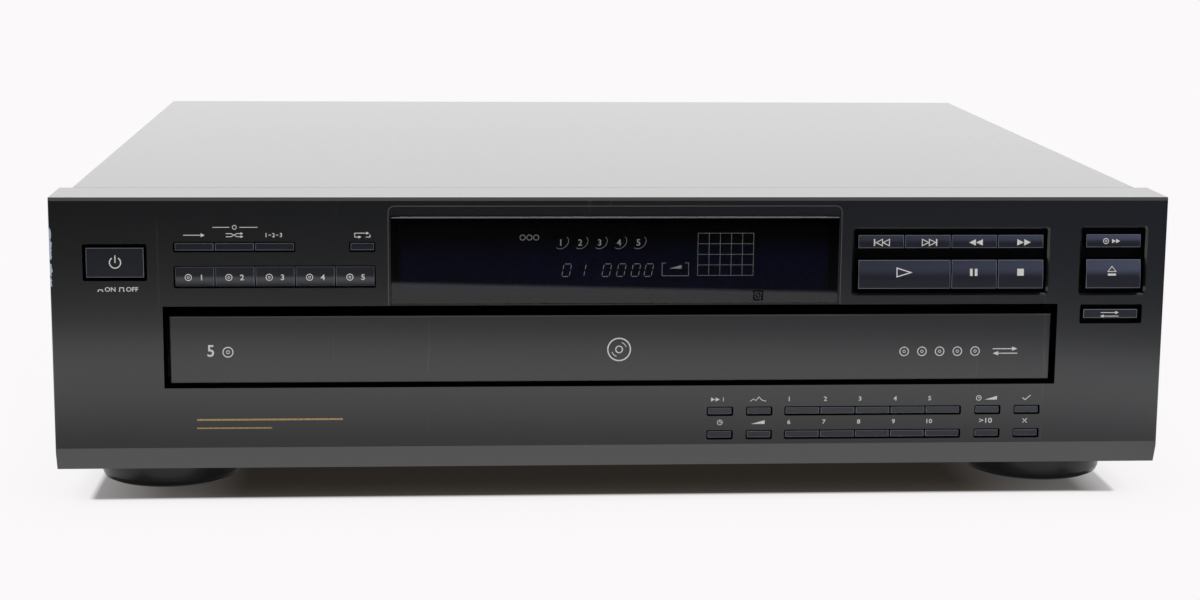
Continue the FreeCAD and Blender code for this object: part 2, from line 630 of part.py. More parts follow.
def front_panel():
    """Moulded front: face with bevels, drawer slot, window seat, key wells and board bosses."""
    bevel_top = PANEL_BOTTOM + LOWER_BEVEL_HEIGHT
    outer = prism_x([
        (0, bevel_top), (LOWER_BEVEL_SETBACK, PANEL_BOTTOM), (PANEL_DEPTH, PANEL_BOTTOM),
        (PANEL_DEPTH, DECK_TOP), (TOP_BEVEL, DECK_TOP), (0, DECK_TOP - TOP_BEVEL),
    ], -PANEL_HALF, PANEL_HALF)
    front_edges = [e for e in edges_along(outer, Z_AXIS) if e.BoundBox.YMax < PANEL_WALL]
    outer = outer.makeFillet(PANEL_EDGE_RADIUS, front_edges)
    inner = prism_x([
        (PANEL_WALL, bevel_top + SHEET), (PANEL_WALL + LOWER_BEVEL_SETBACK, INNER_BOTTOM),
        (PANEL_DEPTH + 1, INNER_BOTTOM), (PANEL_DEPTH + 1, DECK_TOP - PANEL_SIDE_WALL),
        (PANEL_WALL, DECK_TOP - PANEL_SIDE_WALL),
    ], -PANEL_HALF + PANEL_SIDE_WALL, PANEL_HALF - PANEL_SIDE_WALL)
    behind_face = PANEL_WALL - 0.5
    solids = [outer.cut(inner)]
    cuts = []

    w = SLOT_SLEEVE_WALL
    solids.append(box(-SLOT_HALF - w, SLOT_HALF + w, behind_face, SLOT_SLEEVE_DEPTH, SLOT_BOTTOM - w, SLOT_TOP + w))
    cuts.append(box(-SLOT_HALF, SLOT_HALF, -1, PANEL_DEPTH, SLOT_BOTTOM, SLOT_TOP))

    seat_back, w = WINDOW_SEAT_DEPTH + LEDGE_THICKNESS, WINDOW_WALL
    solids.append(box(-WINDOW_HALF - w, WINDOW_HALF + w, behind_face, seat_back, WINDOW_BOTTOM, WINDOW_TOP + w))
    c = WINDOW_CLEARANCE
    cuts.append(box(-WINDOW_HALF - c, WINDOW_HALF + c, -1, WINDOW_SEAT_DEPTH, WINDOW_BOTTOM - c, WINDOW_TOP + c))
    e = WINDOW_LEDGE
    cuts.append(box(-WINDOW_HALF + e, WINDOW_HALF - e, -1, PANEL_DEPTH, WINDOW_BOTTOM + e, WINDOW_TOP - e))
    field = WINDOW_HALF + FRAME_SIDE
    cuts.append(rounded(-field, field, -1, FRAME_DEPTH, SLOT_TOP - 2 * FRAME_CORNER, FRAME_TOP, FRAME_CORNER))

    for well in WELLS:
        left, right, bottom, top = well_box(well)
        w, back = WELL_WALL, WELL_DEPTH + WELL_FLOOR
        solids.append(box(left - w, right + w, behind_face, back, bottom - w, top + w))
        cuts += well_cut(well)
        for strip in well.strips:
            middle = (strip.bottom + strip.top) / 2
            for _, key_left, key_right in key_boxes(strip):
                for x in stem_places(key_left, key_right):
                    cuts.append(rod(STEM_RADIUS + STEM_CLEARANCE, x, 0, middle, back + 1, Y_AXIS))
    for x, z in BOARD_SCREWS_UPPER + BOARD_SCREWS_LOWER:
        solids.append(rod(BOSS_RADIUS, x, behind_face, z, BOARD_FRONT - behind_face, Y_AXIS))
    return joined(solids).cut(cuts)


def display_window():
    """Tinted lens on its ledge, leaning forward towards its top."""
    back = WINDOW_SEAT_DEPTH
    return prism_x([
        (back, WINDOW_BOTTOM), (WINDOW_LOW_FACE, WINDOW_BOTTOM),
        (WINDOW_HIGH_FACE, WINDOW_TOP - WINDOW_EDGE), (WINDOW_HIGH_FACE + WINDOW_EDGE, WINDOW_TOP),
        (back, WINDOW_TOP),
    ], -WINDOW_HALF, WINDOW_HALF)


# ---------------------------------------------------------------- case
def side_screw_holes(radius):
    """Bars through the case sides at the side screws."""
    length = 4 * COVER_SIDE_STEP
    return [
        rod(radius, side * (COVER_HALF - length / 2) - length / 2, y, SIDE_SCREW_Z, length, X_AXIS)
        for side in (-1, 1) for y in SIDE_SCREW_Y
    ]


def top_screw_holes(radius):
    """Bars through the rear lip of the cover and the rear panel at the top screws."""
    z = DECK_TOP - TOP_FLANGE / 2
    return [rod(radius, x, REAR_PANEL_FRONT - 2, z, 6, Y_AXIS) for x in TOP_SCREW_X]


def top_cover():
    """Folded cover: top, two sides and a rear lip outside the rear panel."""
    lower, front = FOOT_HEIGHT + COVER_LOWER_GAP, PANEL_DEPTH + SEAT
    outer = box(-COVER_HALF, COVER_HALF, front, BODY_DEPTH, lower, DECK_TOP)
    folds = [e for e in edges_along(outer, Y_AXIS) if e.BoundBox.ZMin > DECK_TOP - 1]
    outer = outer.makeFillet(1.5 * SHEET, folds)
    inner_half = COVER_HALF - SHEET
    inner = box(-inner_half, inner_half, front - 1, BODY_DEPTH - SHEET, lower - 1, DECK_TOP - SHEET)
    below_lip = box(-inner_half, inner_half, BODY_DEPTH - 2 * SHEET, BODY_DEPTH + 1, lower - 1,
                    DECK_TOP - TOP_FLANGE)
    return outer.cut([inner, below_lip] + side_screw_holes(SCREW_RADIUS) + top_screw_holes(SCREW_RADIUS))


def foot_places():
    """X and Y of the four feet."""
    x = PANEL_HALF - FOOT_FROM_SIDE
    return [(side * x, y) for y in (FRONT_FOOT_Y, BODY_DEPTH - REAR_FOOT_FROM_BACK) for side in (-1, 1)]


def feet():
    """Four round feet, hollow below, with rounded rims."""
    r, h = FOOT_RADIUS, FOOT_HEIGHT
    profile = [(0, h), (r - 1, h), (r, h - 1), (r, 2.5), (r - 0.7, 0.8), (r - 2.4, 0),
               (r - 9, 0), (r - 11, 4), (0, 4)]
    return Part.makeCompound([turned(profile, x, y) for x, y in foot_places()])


def chassis():
    """Folded bottom pan with a front plate, side flanges, a rear flange and board standoffs."""
    half, front, back, low = CHASSIS_HALF, PANEL_DEPTH, REAR_PANEL_FRONT, FOOT_HEIGHT
    sheets = [
        box(-half, half, front, back, low, FLOOR_TOP),
        box(-half, -half + SHEET, front, back, low, low + CHASSIS_SIDE_HEIGHT),
        box(half - SHEET, half, front, back, low, low + CHASSIS_SIDE_HEIGHT),
        box(-half, half, back - SHEET, back, low, low + REAR_FLANGE_HEIGHT),
        box(-half, half, front, front + SHEET, low, DECK_TOP - SHEET - 2 * SEAT),
    ]
    for x, y in board_standoffs():
        sheets.append(disc(STANDOFF_RADIUS, x, y, FLOOR_TOP, FLOOR_TOP + STANDOFF))
    margin = 2 * SHEET
    drawer_way = box(-SLOT_HALF - margin, SLOT_HALF + margin, front - 1, front + 2 * SHEET,
                     SLOT_BOTTOM - margin, SLOT_TOP + margin)
    cable_way = box(-WINDOW_HALF / 2, WINDOW_HALF / 2, front - 1, front + 2 * SHEET,
                    WINDOW_BOTTOM + 3 * WINDOW_LEDGE, WINDOW_TOP)
    return joined(sheets).cut([drawer_way, cable_way] + side_screw_holes(SCREW_RADIUS))


def jack_places():
    """X of the two line-out jacks."""
    return (JACK_X - JACK_PITCH / 2, JACK_X + JACK_PITCH / 2)


def rear_panel():
    """Steel back with holes for the jacks and the cord gland, and a flange under the cover."""
    front, back, top = REAR_PANEL_FRONT, REAR_PANEL_BACK, DECK_TOP - SHEET - SEAT
    plate = joined([
        box(-CHASSIS_HALF, CHASSIS_HALF, front, back, FOOT_HEIGHT, top),
        box(-CHASSIS_HALF, CHASSIS_HALF, back - TOP_FLANGE, back, top - SHEET, top),
    ])
    holes = [rod(JACK_COLLAR_RADIUS, x, front - 1, JACK_HEIGHT, 4, Y_AXIS) for x in jack_places()]
    holes.append(rod(GLAND_RADIUS, GLAND_X, front - 1, GLAND_HEIGHT, 4, Y_AXIS))
    return plate.cut(holes + top_screw_holes(SCREW_RADIUS))


def screw(x, y, z, axis, length):
    """Pan-head screw: its head's underside at a point, its shank running back along the axis."""
    head = rod(SCREW_HEAD_RADIUS, x, y, z, SCREW_HEAD, axis)
    head = head.makeFillet(SCREW_HEAD / 3, [e for e in head.Edges if e.Length > 6 * SCREW_HEAD_RADIUS][:1])
    shank = rod(SCREW_RADIUS, x, y, z, length, axis * -1)
    return joined([head, shank])


def case_screws():
    """Four screws in the sides and three along the top of the back."""
    screws = [
        screw(side * COVER_HALF, y, SIDE_SCREW_Z, V(side, 0, 0), 5)
        for side in (-1, 1) for y in SIDE_SCREW_Y
    ]
    z = DECK_TOP - TOP_FLANGE / 2
    screws += [screw(x, BODY_DEPTH, z, Y_AXIS, 5) for x in TOP_SCREW_X]
    return Part.makeCompound(screws)


# ---------------------------------------------------------------- boards
DISPLAY_TUBE = (-WINDOW_HALF + 24.1, WINDOW_HALF - 22.1, WINDOW_BOTTOM + 4.1, WINDOW_TOP - 4.2)
TUBE_THICKNESS = 8.0
POWER_SWITCH = (POWER_LEFT + 3.6, POWER_LEFT + 18.6, POWER_Z + 0.3, POWER_Z + 11.3)


def board_standoffs():
    """X and Y of the posts that carry the main board."""
    inset = 8.0
    return [
        (x, y) for x in (MAIN_BOARD_LEFT + inset, MAIN_BOARD_RIGHT - inset)
        for y in (MAIN_BOARD_FRONT + inset, REAR_PANEL_FRONT - 2 - inset)
    ]


def key_board():
    """Boards behind the panel with one switch for each key, the display tube and the power switch."""
    f, b = BOARD_FRONT, BOARD_BACK
    right = PANEL_HALF - PANEL_SIDE_WALL - 5
    sleeve_top, sleeve_bottom = SLOT_TOP + SLOT_SLEEVE_WALL, SLOT_BOTTOM - SLOT_SLEEVE_WALL
    upper = joined([
        box(-right, right, f, b, sleeve_top + SEAT, DECK_TOP - PANEL_SIDE_WALL - 2),
        box(SLOT_HALF + 2 * SLOT_SLEEVE_WALL, right, f, b, SLOT_TOP - 12, sleeve_top + 1),
    ])
    lower = box(BOARD_SCREWS_LOWER[0][0] - 4, BOARD_SCREWS_LOWER[1][0] + 4, f, b,
                INNER_BOTTOM + 3, sleeve_bottom - 3)
    x0, x1, z0, z1 = POWER_SWITCH
    upper = upper.cut(box(x0 - 4, x1 + 4, f - 1, b + 1, z0 - SEAT, z1 + SEAT))
    solids = [upper, lower]
    tx0, tx1, tz0, tz1 = DISPLAY_TUBE
    solids.append(rounded(tx0, tx1, f - TUBE_THICKNESS, f, tz0, tz1, 1.5))
    tip = collar_start("power_button") + COLLAR_LENGTH + POWER_PRESS + SEAT
    body = box(x0, x1, b, b + POWER_SWITCH_LENGTH - 2, z0 - 2, z1 + 2)
    plunger = box(x0, x1, tip, b, z0 + 2, z1 - 2)
    solids.append(joined([body, plunger]))
    for well in WELLS:
        for strip in well.strips:
            middle = (strip.bottom + strip.top) / 2
            for name, left, right in key_boxes(strip):
                if name == "power_button":
                    continue
                x, h = stem_places(left, right)[0], SWITCH_SIZE / 2
                solids.append(joined([
                    box(x - h, x + h, f - SWITCH_BODY, f, middle - h, middle + h),
                    rod(SWITCH_PLUNGER_RADIUS, x, SWITCH_TIP, middle, SWITCH_PLUNGER_LENGTH, Y_AXIS),
                ]))
    return Part.makeCompound(solids)


def jack(x):
    """Line-out jack: a block inside, a collar through the rear panel and a bored barrel."""
    board_top = FLOOR_TOP + STANDOFF + BOARD_THICKNESS
    h = JACK_PITCH / 2 - 0.5
    back = REAR_PANEL_BACK + JACK_COLLAR_LENGTH
    solid = joined([
        box(x - h, x + h, REAR_PANEL_FRONT - 12, REAR_PANEL_FRONT, board_top, JACK_HEIGHT + h),
        rod(JACK_COLLAR_RADIUS, x, REAR_PANEL_FRONT - 1, JACK_HEIGHT, back - REAR_PANEL_FRONT + 1, Y_AXIS),
        rod(JACK_BARREL_RADIUS, x, back - 1, JACK_HEIGHT, JACK_BARREL_LENGTH + 1, Y_AXIS),
    ])
    return solid.cut(rod(JACK_BORE_RADIUS, x, back, JACK_HEIGHT, JACK_BARREL_LENGTH + 1, Y_AXIS))


def main_board():
    """Main board on its posts with jacks, chips and capacitors, and the supply beside it."""
    low = FLOOR_TOP + STANDOFF
    top = low + BOARD_THICKNESS
    left, right, front = MAIN_BOARD_LEFT, MAIN_BOARD_RIGHT, MAIN_BOARD_FRONT
    solids = [box(left, right, front, REAR_PANEL_FRONT - 2, low, top)]
    solids += [jack(x) for x in jack_places()]
    for x, y, width, length in ((left + 30, front + 50, 22, 22), (left + 72, front + 60, 18, 18),
                                (left + 40, front + 100, 26, 9)):
        solids.append(box(x, x + width, y, y + length, top, top + 3))
    for n in range(4):
        solids.append(disc(5, left + 14, front + 40 + 14 * n, top, top + 14))
    x0 = FRAME_OUTER + 3
    x1 = x0 + TRANSFORMER_WIDTH
    y0 = REAR_PANEL_FRONT - TRANSFORMER_FROM_BACK - TRANSFORMER_LENGTH
    y1, z1 = y0 + TRANSFORMER_LENGTH, FLOOR_TOP + TRANSFORMER_HEIGHT
    core = box(x0, x1, y0, y1, FLOOR_TOP, z1)
    window = TRANSFORMER_CORE
    gaps = [
        box(x0 - 1, x1 + 1, y, y + window, FLOOR_TOP + window, z1 - window)
        for y in (y0 + window, y1 - 2 * window)
    ]
    core = core.cut(gaps)
    coil = box(x0 + 3, x1 - 3, y0 + window, y1 - window, FLOOR_TOP + window, z1 - window)
    coil = coil.cut(box(x0, x1, y0 + 2 * window, y1 - 2 * window, FLOOR_TOP, z1))
    solids += [core] + coil.Solids
    flange_back = REAR_PANEL_BACK + GLAND_PROUD
    gland = joined([
        rod(GLAND_RADIUS, GLAND_X, REAR_PANEL_FRONT - 4, GLAND_HEIGHT, 5 + SHEET, Y_AXIS),
        rod(GLAND_RADIUS + 2, GLAND_X, REAR_PANEL_BACK, GLAND_HEIGHT, GLAND_PROUD, Y_AXIS),
        rod(GLAND_RADIUS + 2, GLAND_X, REAR_PANEL_FRONT - 4, GLAND_HEIGHT, 4, Y_AXIS),
    ])
    solids.append(gland.cut(rod(GLAND_BORE, GLAND_X, REAR_PANEL_FRONT - 5, GLAND_HEIGHT,
                                flange_back - REAR_PANEL_FRONT + 6, Y_AXIS)))
    return Part.makeCompound(solids)


# ---------------------------------------------------------------- drawer, carousel and their drive
def table_gear_place():
    """X and Y of the table gear's shaft."""
    reach = RING_GEAR_RADIUS + TABLE_GEAR_RADIUS
    angle = math.radians(TABLE_GEAR_BEARING)
    return reach * math.cos(angle), CAROUSEL_CENTRE_Y + reach * math.sin(angle)


def tray():
    """Drawer: floor, deck round the carousel, runners, rack, centre post and the carousel's track."""
    cx, cy = 0.0, CAROUSEL_CENTRE_Y
    recess = disc(CAROUSEL_RADIUS + CAROUSEL_GAP, cx, cy, TRAY_FLOOR_TOP, TRAY_TOP + 1)
    pocket_w = TRAY_POCKET_WALL
    pocket_rear = cy - CAROUSEL_RADIUS - CAROUSEL_GAP - pocket_w
    pocket = box(-TRAY_HALF + pocket_w, TRAY_HALF - pocket_w, TRAY_FRONT + pocket_w, pocket_rear,
                 TRAY_BOTTOM - 1, TRAY_TOP - TRAY_FLOOR)
    body = box(-TRAY_HALF, TRAY_HALF, TRAY_FRONT, TRAY_REAR, TRAY_BOTTOM, TRAY_TOP).cut([recess, pocket])
    pivot_y = table_gear_place()[1]
    solids = [body, box(-TRAY_HALF, TRAY_HALF, TRAY_FRONT, TRAY_FRONT + TRAY_FRONT_WALL, TRAY_BOTTOM,
                        TRAY_FRONT_TOP)]
    for side in (-1, 1):
        x0, x1 = sorted((side * (TRAY_HALF - 0.5), side * (TRAY_HALF + RUNNER_WIDTH)))
        solids.append(box(x0, x1, RUNNER_FRONT, TRAY_REAR, RUNNER_BOTTOM, RUNNER_TOP))
    solids.append(rack(RACK_LEFT, RACK_PITCH_X, RACK_FRONT, RACK_FRONT + RACK_LENGTH, RACK_BOTTOM, TRAY_BOTTOM + 0.5,
                       LOADING_GEAR_Y + math.pi * GEAR_MODULE / 2))
    solids.append(disc(POST_RADIUS, cx, cy, TRAY_BOTTOM, DOME_TOP - DOME_WALL - 2 * SEAT))
    solids.append(disc(POST_RADIUS + BEARING_WALL, cx, cy, TRAY_BOTTOM, TRAY_FLOOR_TOP + 0.5))
    track = RING_GEAR_RADIUS - RING_GEAR_BACK
    solids.append(tube(track + TRACK_WIDTH, track, cx, cy, TRAY_FLOOR_TOP - 0.5, RING_GEAR_BOTTOM - SEAT))
    opening = BASE_HALF_WIDTH + 2.5
    gear_x, _ = table_gear_place()
    cuts = [
        box(-opening, opening, BASE_FRONT - 3, TRAY_REAR + 1, TRAY_BOTTOM - 1, TRAY_TOP + 1),
        disc(SHAFT_RADIUS + 2 * SHAFT_FIT, gear_x, pivot_y, TRAY_BOTTOM - 1, TRAY_FLOOR_TOP + 1),
    ]
    return joined(solids).cut(cuts)


def tray_door():
    """Front of the drawer, flush with the panel, with fine bevels round its face."""
    door = box(-SLOT_HALF + DOOR_SIDE_GAP, SLOT_HALF - DOOR_SIDE_GAP, 0, DOOR_THICKNESS,
               SLOT_BOTTOM + DOOR_BOTTOM_GAP, SLOT_TOP - DOOR_TOP_GAP)
    return door.makeChamfer(DOOR_EDGE, [e for e in door.Edges if e.BoundBox.YMax < 0.01])


def at_disc_wells(shape):
    """Copies of a shape for each disc well. The shape is given for the well at the back."""
    copies = []
    for n in range(DISC_WELLS):
        copy = shape.copy()
        copy.rotate(V(0, CAROUSEL_CENTRE_Y, 0), Z_AXIS, 360.0 * n / DISC_WELLS)
        copies.append(copy)
    return copies


def carousel():
    """Turntable: five stepped wells with slots open to the rim, a dome, a bearing and a ring gear."""
    cy, top, low = CAROUSEL_CENTRE_Y, CAROUSEL_TOP, CAROUSEL_BOTTOM
    bore = POST_RADIUS + POST_FIT
    sleeve = bore + BEARING_WALL
    dome_inside = DOME_TOP - DOME_WALL
    body = turned([
        (0, DOME_TOP), (DOME_RADIUS - 6, DOME_TOP), (DOME_RADIUS, top), (CAROUSEL_RADIUS, top),
        (CAROUSEL_RADIUS, low), (DOME_RADIUS - 3, low), (DOME_RADIUS - 8, dome_inside),
        (sleeve, dome_inside), (sleeve, TRAY_FLOOR_TOP + 0.5 + SEAT), (bore, TRAY_FLOOR_TOP + 0.5 + SEAT),
        (bore, dome_inside - SEAT), (0, dome_inside - SEAT),
    ], 0, cy)
    ring = spur_gear(RING_GEAR_TEETH, 0, cy, RING_GEAR_BOTTOM, low + 0.5,
                     TABLE_GEAR_BEARING + 180.0 / RING_GEAR_TEETH)
    ring = ring.cut(disc(RING_GEAR_RADIUS - RING_GEAR_BACK, 0, cy, RING_GEAR_BOTTOM - 1, low + 1))
    slot = rounded(-WELL_SLOT_HALF, WELL_SLOT_HALF, cy + WELL_SLOT_INNER, cy + 1.3 * CAROUSEL_RADIUS,
                   low - 1, top + 1, WELL_SLOT_CORNER, Z_AXIS)
    cuts = []
    for tool in (disc(LARGE_WELL_RADIUS, 0, HUB_Y, top - LARGE_WELL_DEPTH, top + 1),
                 disc(SMALL_WELL_RADIUS, 0, HUB_Y, top - SMALL_WELL_DEPTH, top + 1), slot):
        cuts += at_disc_wells(tool)
    return joined([body, ring]).cut(cuts)


def table_gear():
    """Gear that turns the carousel, on the table motor's shaft."""
    x, y = table_gear_place()
    gear = spur_gear(TABLE_GEAR_TEETH, x, y, TRAY_FLOOR_TOP + SEAT, CAROUSEL_BOTTOM - SEAT,
                     TABLE_GEAR_BEARING + 180.0)
    return joined([gear, disc(SHAFT_RADIUS, x, y, TRAY_BOTTOM - TABLE_MOTOR_LENGTH + 2, CAROUSEL_BOTTOM - SEAT)])


def motor(radius, length, x, y, top):
    """Motor can with a shaft bore, under the plate that carries it."""
    can = disc(radius, x, y, top - length, top)
    can = can.makeFillet(radius / 10, [e for e in can.Edges if e.BoundBox.ZMax < top - length + 0.01])
    return can.cut(disc(SHAFT_RADIUS + SHAFT_FIT, x, y, top - length + 1, top + 1))


def table_motor():
    """Flat motor under the drawer's floor."""
    x, y = table_gear_place()
    return motor(TABLE_MOTOR_RADIUS, TABLE_MOTOR_LENGTH, x, y, TRAY_BOTTOM)


LOADING_GEAR_X = RACK_PITCH_X + LOADING_GEAR_RADIUS
LOADING_PINION_X = LOADING_GEAR_X + LOADING_GEAR_RADIUS + LOADING_PINION_RADIUS
CROSS_TOP = TRAY_BOTTOM - CROSS_DROP
CROSS_BOTTOM = CROSS_TOP - CROSS_THICKNESS
LOADING_GEAR_BOTTOM = TRAY_BOTTOM - SEAT - LOADING_GEAR_HEIGHT


def loading_gear():
    """Wheel in mesh with the drawer's rack above and with the motor's pinion below."""
    x, y = LOADING_GEAR_X, LOADING_GEAR_Y
    wheel = spur_gear(LOADING_GEAR_TEETH, x, y, LOADING_GEAR_BOTTOM, TRAY_BOTTOM - SEAT, 180.0)
    boss = disc(GEAR_POST_RADIUS + BEARING_WALL, x, y, CROSS_TOP + SEAT, LOADING_GEAR_BOTTOM + 1)
    bore = disc(GEAR_POST_RADIUS + GEAR_POST_FIT, x, y, CROSS_TOP - 1, TRAY_BOTTOM + 1)
    return joined([wheel, boss]).cut(bore)


def loading_pinion():
    """Pinion on the loading motor's shaft."""
    x, y = LOADING_PINION_X, LOADING_GEAR_Y
    bottom = LOADING_GEAR_BOTTOM
    facing = 180.0 + 180.0 / LOADING_PINION_TEETH
    return joined([
        spur_gear(LOADING_PINION_TEETH, x, y, bottom, bottom + PINION_HEIGHT, facing),
        disc(SHAFT_RADIUS, x, y, CROSS_BOTTOM - LOADING_MOTOR_LENGTH + 2, bottom + PINION_HEIGHT),
        disc(2 * SHAFT_RADIUS, x, y, CROSS_TOP + SEAT, bottom + 0.5),
    ])


def loading_motor():
    """Motor under the frame's front plate."""
    return motor(LOADING_MOTOR_RADIUS, LOADING_MOTOR_LENGTH, LOADING_PINION_X, LOADING_GEAR_Y, CROSS_BOTTOM)


# ---------------------------------------------------------------- mechanism frame
PEG_Z = BASE_BOTTOM - PEG_DROP
PEG_Y = (BASE_FRONT + 12.0, BASE_REAR - 14.0)
GUIDE_INNER = BASE_HALF_WIDTH + 0.5


def mechanism_frame():
    """Fixed frame: grooved side walls for the drawer, front plate, lift guides and clamp bridge."""
    y0, y1, low = FRAME_FRONT, FRAME_REAR, FLOOR_TOP
    guide_top = BASE_BOTTOM + GUIDE_RISE
    solids, cuts = [], []
    for side in (-1, 1):
        x0, x1 = sorted((side * FRAME_INNER, side * FRAME_OUTER))
        solids.append(box(x0, x1, y0, y1, low, FRAME_TOP_Z))
        solids.append(box(x0, x1, HUB_Y - BRIDGE_HALF_LENGTH, HUB_Y + BRIDGE_HALF_LENGTH, low, BRIDGE_TOP))
        x0, x1 = sorted((side * (FRAME_INNER - 1), side * (TRAY_HALF + RUNNER_WIDTH + SEAT)))
        cuts.append(box(x0, x1, y0 - 1, y1 + 1, RUNNER_BOTTOM - SEAT, RUNNER_TOP + SEAT))
        x0, x1 = sorted((side * GUIDE_INNER, side * (GUIDE_INNER + GUIDE_WALL)))
        solids.append(box(x0, x1, BASE_FRONT, y1, low, guide_top))
        half = PEG_RADIUS + PEG_CLEARANCE
        for y in PEG_Y:
            cuts.append(box(x0 - 1, x1 + 1, y - half, y + half, PEG_Z - half, guide_top + 1))
    reach = FRAME_OUTER
    solids.append(box(-reach, reach, y0, y0 + FRONT_CROSS_DEPTH, CROSS_BOTTOM, CROSS_TOP))
    solids.append(box(-reach, reach, BASE_FRONT - REAR_CROSS_DEPTH, BASE_FRONT + REAR_CROSS_DEPTH, low,
                      low + CROSS_THICKNESS))
    solids.append(disc(GEAR_POST_RADIUS, LOADING_GEAR_X, LOADING_GEAR_Y, CROSS_TOP - 1,
                       TRAY_BOTTOM - 2 * SEAT))
    b0, b1 = HUB_Y - BRIDGE_HALF_LENGTH, HUB_Y + BRIDGE_HALF_LENGTH
    solids.append(box(-reach, reach, b0, b1, BRIDGE_BOTTOM, BRIDGE_TOP))
    rib = 2.0
    for y in (b0, b1 - rib):
        solids.append(box(-reach, reach, y, y + rib, BRIDGE_TOP - 1, BRIDGE_TOP + 2 * rib))
    cuts.append(disc(CLAMP_RADIUS + CLAMP_CLEARANCE, 0, HUB_Y, BRIDGE_BOTTOM - 1, BRIDGE_TOP + 1))
    cuts.append(disc(SHAFT_RADIUS + 2 * SHAFT_FIT, LOADING_PINION_X, LOADING_GEAR_Y, CROSS_BOTTOM - 1,
                     CROSS_TOP + 1))
    return joined(solids).cut(cuts)


def disc_clamp():
    """Clamp puck that hangs by its flange in the bridge."""
    r, flange = CLAMP_RADIUS, CLAMP_RADIUS + CLAMP_FLANGE
    seat = BRIDGE_TOP + SEAT
    top = seat + CLAMP_FLANGE_THICKNESS
    recess = CLAMP_BOTTOM + CLAMP_RECESS_DEPTH
    return turned([
        (CLAMP_RECESS_RADIUS, CLAMP_BOTTOM), (r - 0.5, CLAMP_BOTTOM), (r, CLAMP_BOTTOM + 0.5), (r, seat),
        (flange, seat), (flange, top), (0, top), (0, recess), (CLAMP_RECESS_RADIUS - 1.5, recess),
    ], 0, HUB_Y)


# ---------------------------------------------------------------- pickup unit
LENS_Y = HUB_Y + LENS_START


def pickup_base():
    """Lifting plate with skirts and pegs, the spindle motor's can and the sled's two rods."""
    half, y0, y1 = BASE_HALF_WIDTH, BASE_FRONT, BASE_REAR
    skirt = BASE_BOTTOM - BASE_SKIRT
    solids = [box(-half, half, y0, y1, BASE_BOTTOM, BASE_TOP)]
    for side in (-1, 1):
        x0, x1 = sorted((side * (half - BASE_SKIRT_WALL), side * half))
        solids.append(box(x0, x1, y0, y1, skirt, BASE_TOP))
        for y in PEG_Y:
            start = side * (half - 1)
            solids.append(rod(PEG_RADIUS, start, y, PEG_Z, PEG_LENGTH + 1, V(side, 0, 0)))
    lug_ends = (y0 + 1.5, y1 - 0.5 - LUG_LENGTH)
    rod_start, rod_end = lug_ends[0], lug_ends[1] + LUG_LENGTH
    bars = []
    for side in (-1, 1):
        for y in lug_ends:
            solids.append(box(side * ROD_X - LUG_HALF_WIDTH, side * ROD_X + LUG_HALF_WIDTH, y,
                              y + LUG_LENGTH, BASE_TOP - 1, ROD_Z + ROD_RADIUS + 0.5))
        bars.append(rod(ROD_RADIUS, side * ROD_X, rod_start, ROD_Z, rod_end - rod_start, Y_AXIS))
    margin = 1.5
    laser_way = box(-LASER_HALF_WIDTH - margin, LASER_HALF_WIDTH + margin,
                    LENS_Y - SLED_HALF_LENGTH - margin, LENS_Y + SLED_HALF_LENGTH + SLED_TRAVEL + margin,
                    BASE_BOTTOM - 1, BASE_TOP + 1)
    spindle_way = disc(SHAFT_RADIUS + SHAFT_FIT, 0, HUB_Y, BASE_BOTTOM - 1, BASE_TOP + 1)
    plate = joined(solids).cut([laser_way, spindle_way] + bars)
    can = motor(SPINDLE_MOTOR_RADIUS, SPINDLE_MOTOR_LENGTH, 0, HUB_Y, BASE_BOTTOM)
    return Part.makeCompound([plate, can] + bars)


def optical_pickup():
    """Sled on the two rods, with the lens on top and the laser block hanging through the base."""
    y0, y1, half = LENS_Y - SLED_HALF_LENGTH, LENS_Y + SLED_HALF_LENGTH, SLED_HALF_WIDTH
    body = joined([
        box(-half, half, y0, y1, SLED_BOTTOM, SLED_TOP),
        box(-LASER_HALF_WIDTH, LASER_HALF_WIDTH, y0, y1, SLED_BOTTOM - LASER_DROP, SLED_TOP),
        disc(LENS_RADIUS, 0, LENS_Y, SLED_TOP - 1, LENS_TOP),
    ])
    bores = [rod(ROD_RADIUS + ROD_FIT, side * ROD_X, y0 - 1, ROD_Z, y1 - y0 + 2, Y_AXIS) for side in (-1, 1)]
    return body.cut(bores)


def spindle_hub():
    """Disc hub with its centring cone and its shaft down into the spindle motor."""
    cone = DISC_HOLE_RADIUS - 0.1
    return turned([
        (0, HUB_SEAT + HUB_CONE_HEIGHT), (cone - 1.5, HUB_SEAT + HUB_CONE_HEIGHT), (cone, HUB_SEAT + 0.8),
        (cone, HUB_SEAT), (HUB_RADIUS, HUB_SEAT), (HUB_RADIUS, HUB_BOTTOM), (HUB_BOSS_RADIUS, HUB_BOTTOM),
        (HUB_BOSS_RADIUS, BASE_TOP + 1), (SHAFT_RADIUS, BASE_TOP + 1),
        (SHAFT_RADIUS, BASE_BOTTOM - SPINDLE_MOTOR_LENGTH + 1.5), (0, BASE_BOTTOM - SPINDLE_MOTOR_LENGTH + 1.5),
    ], 0, HUB_Y)


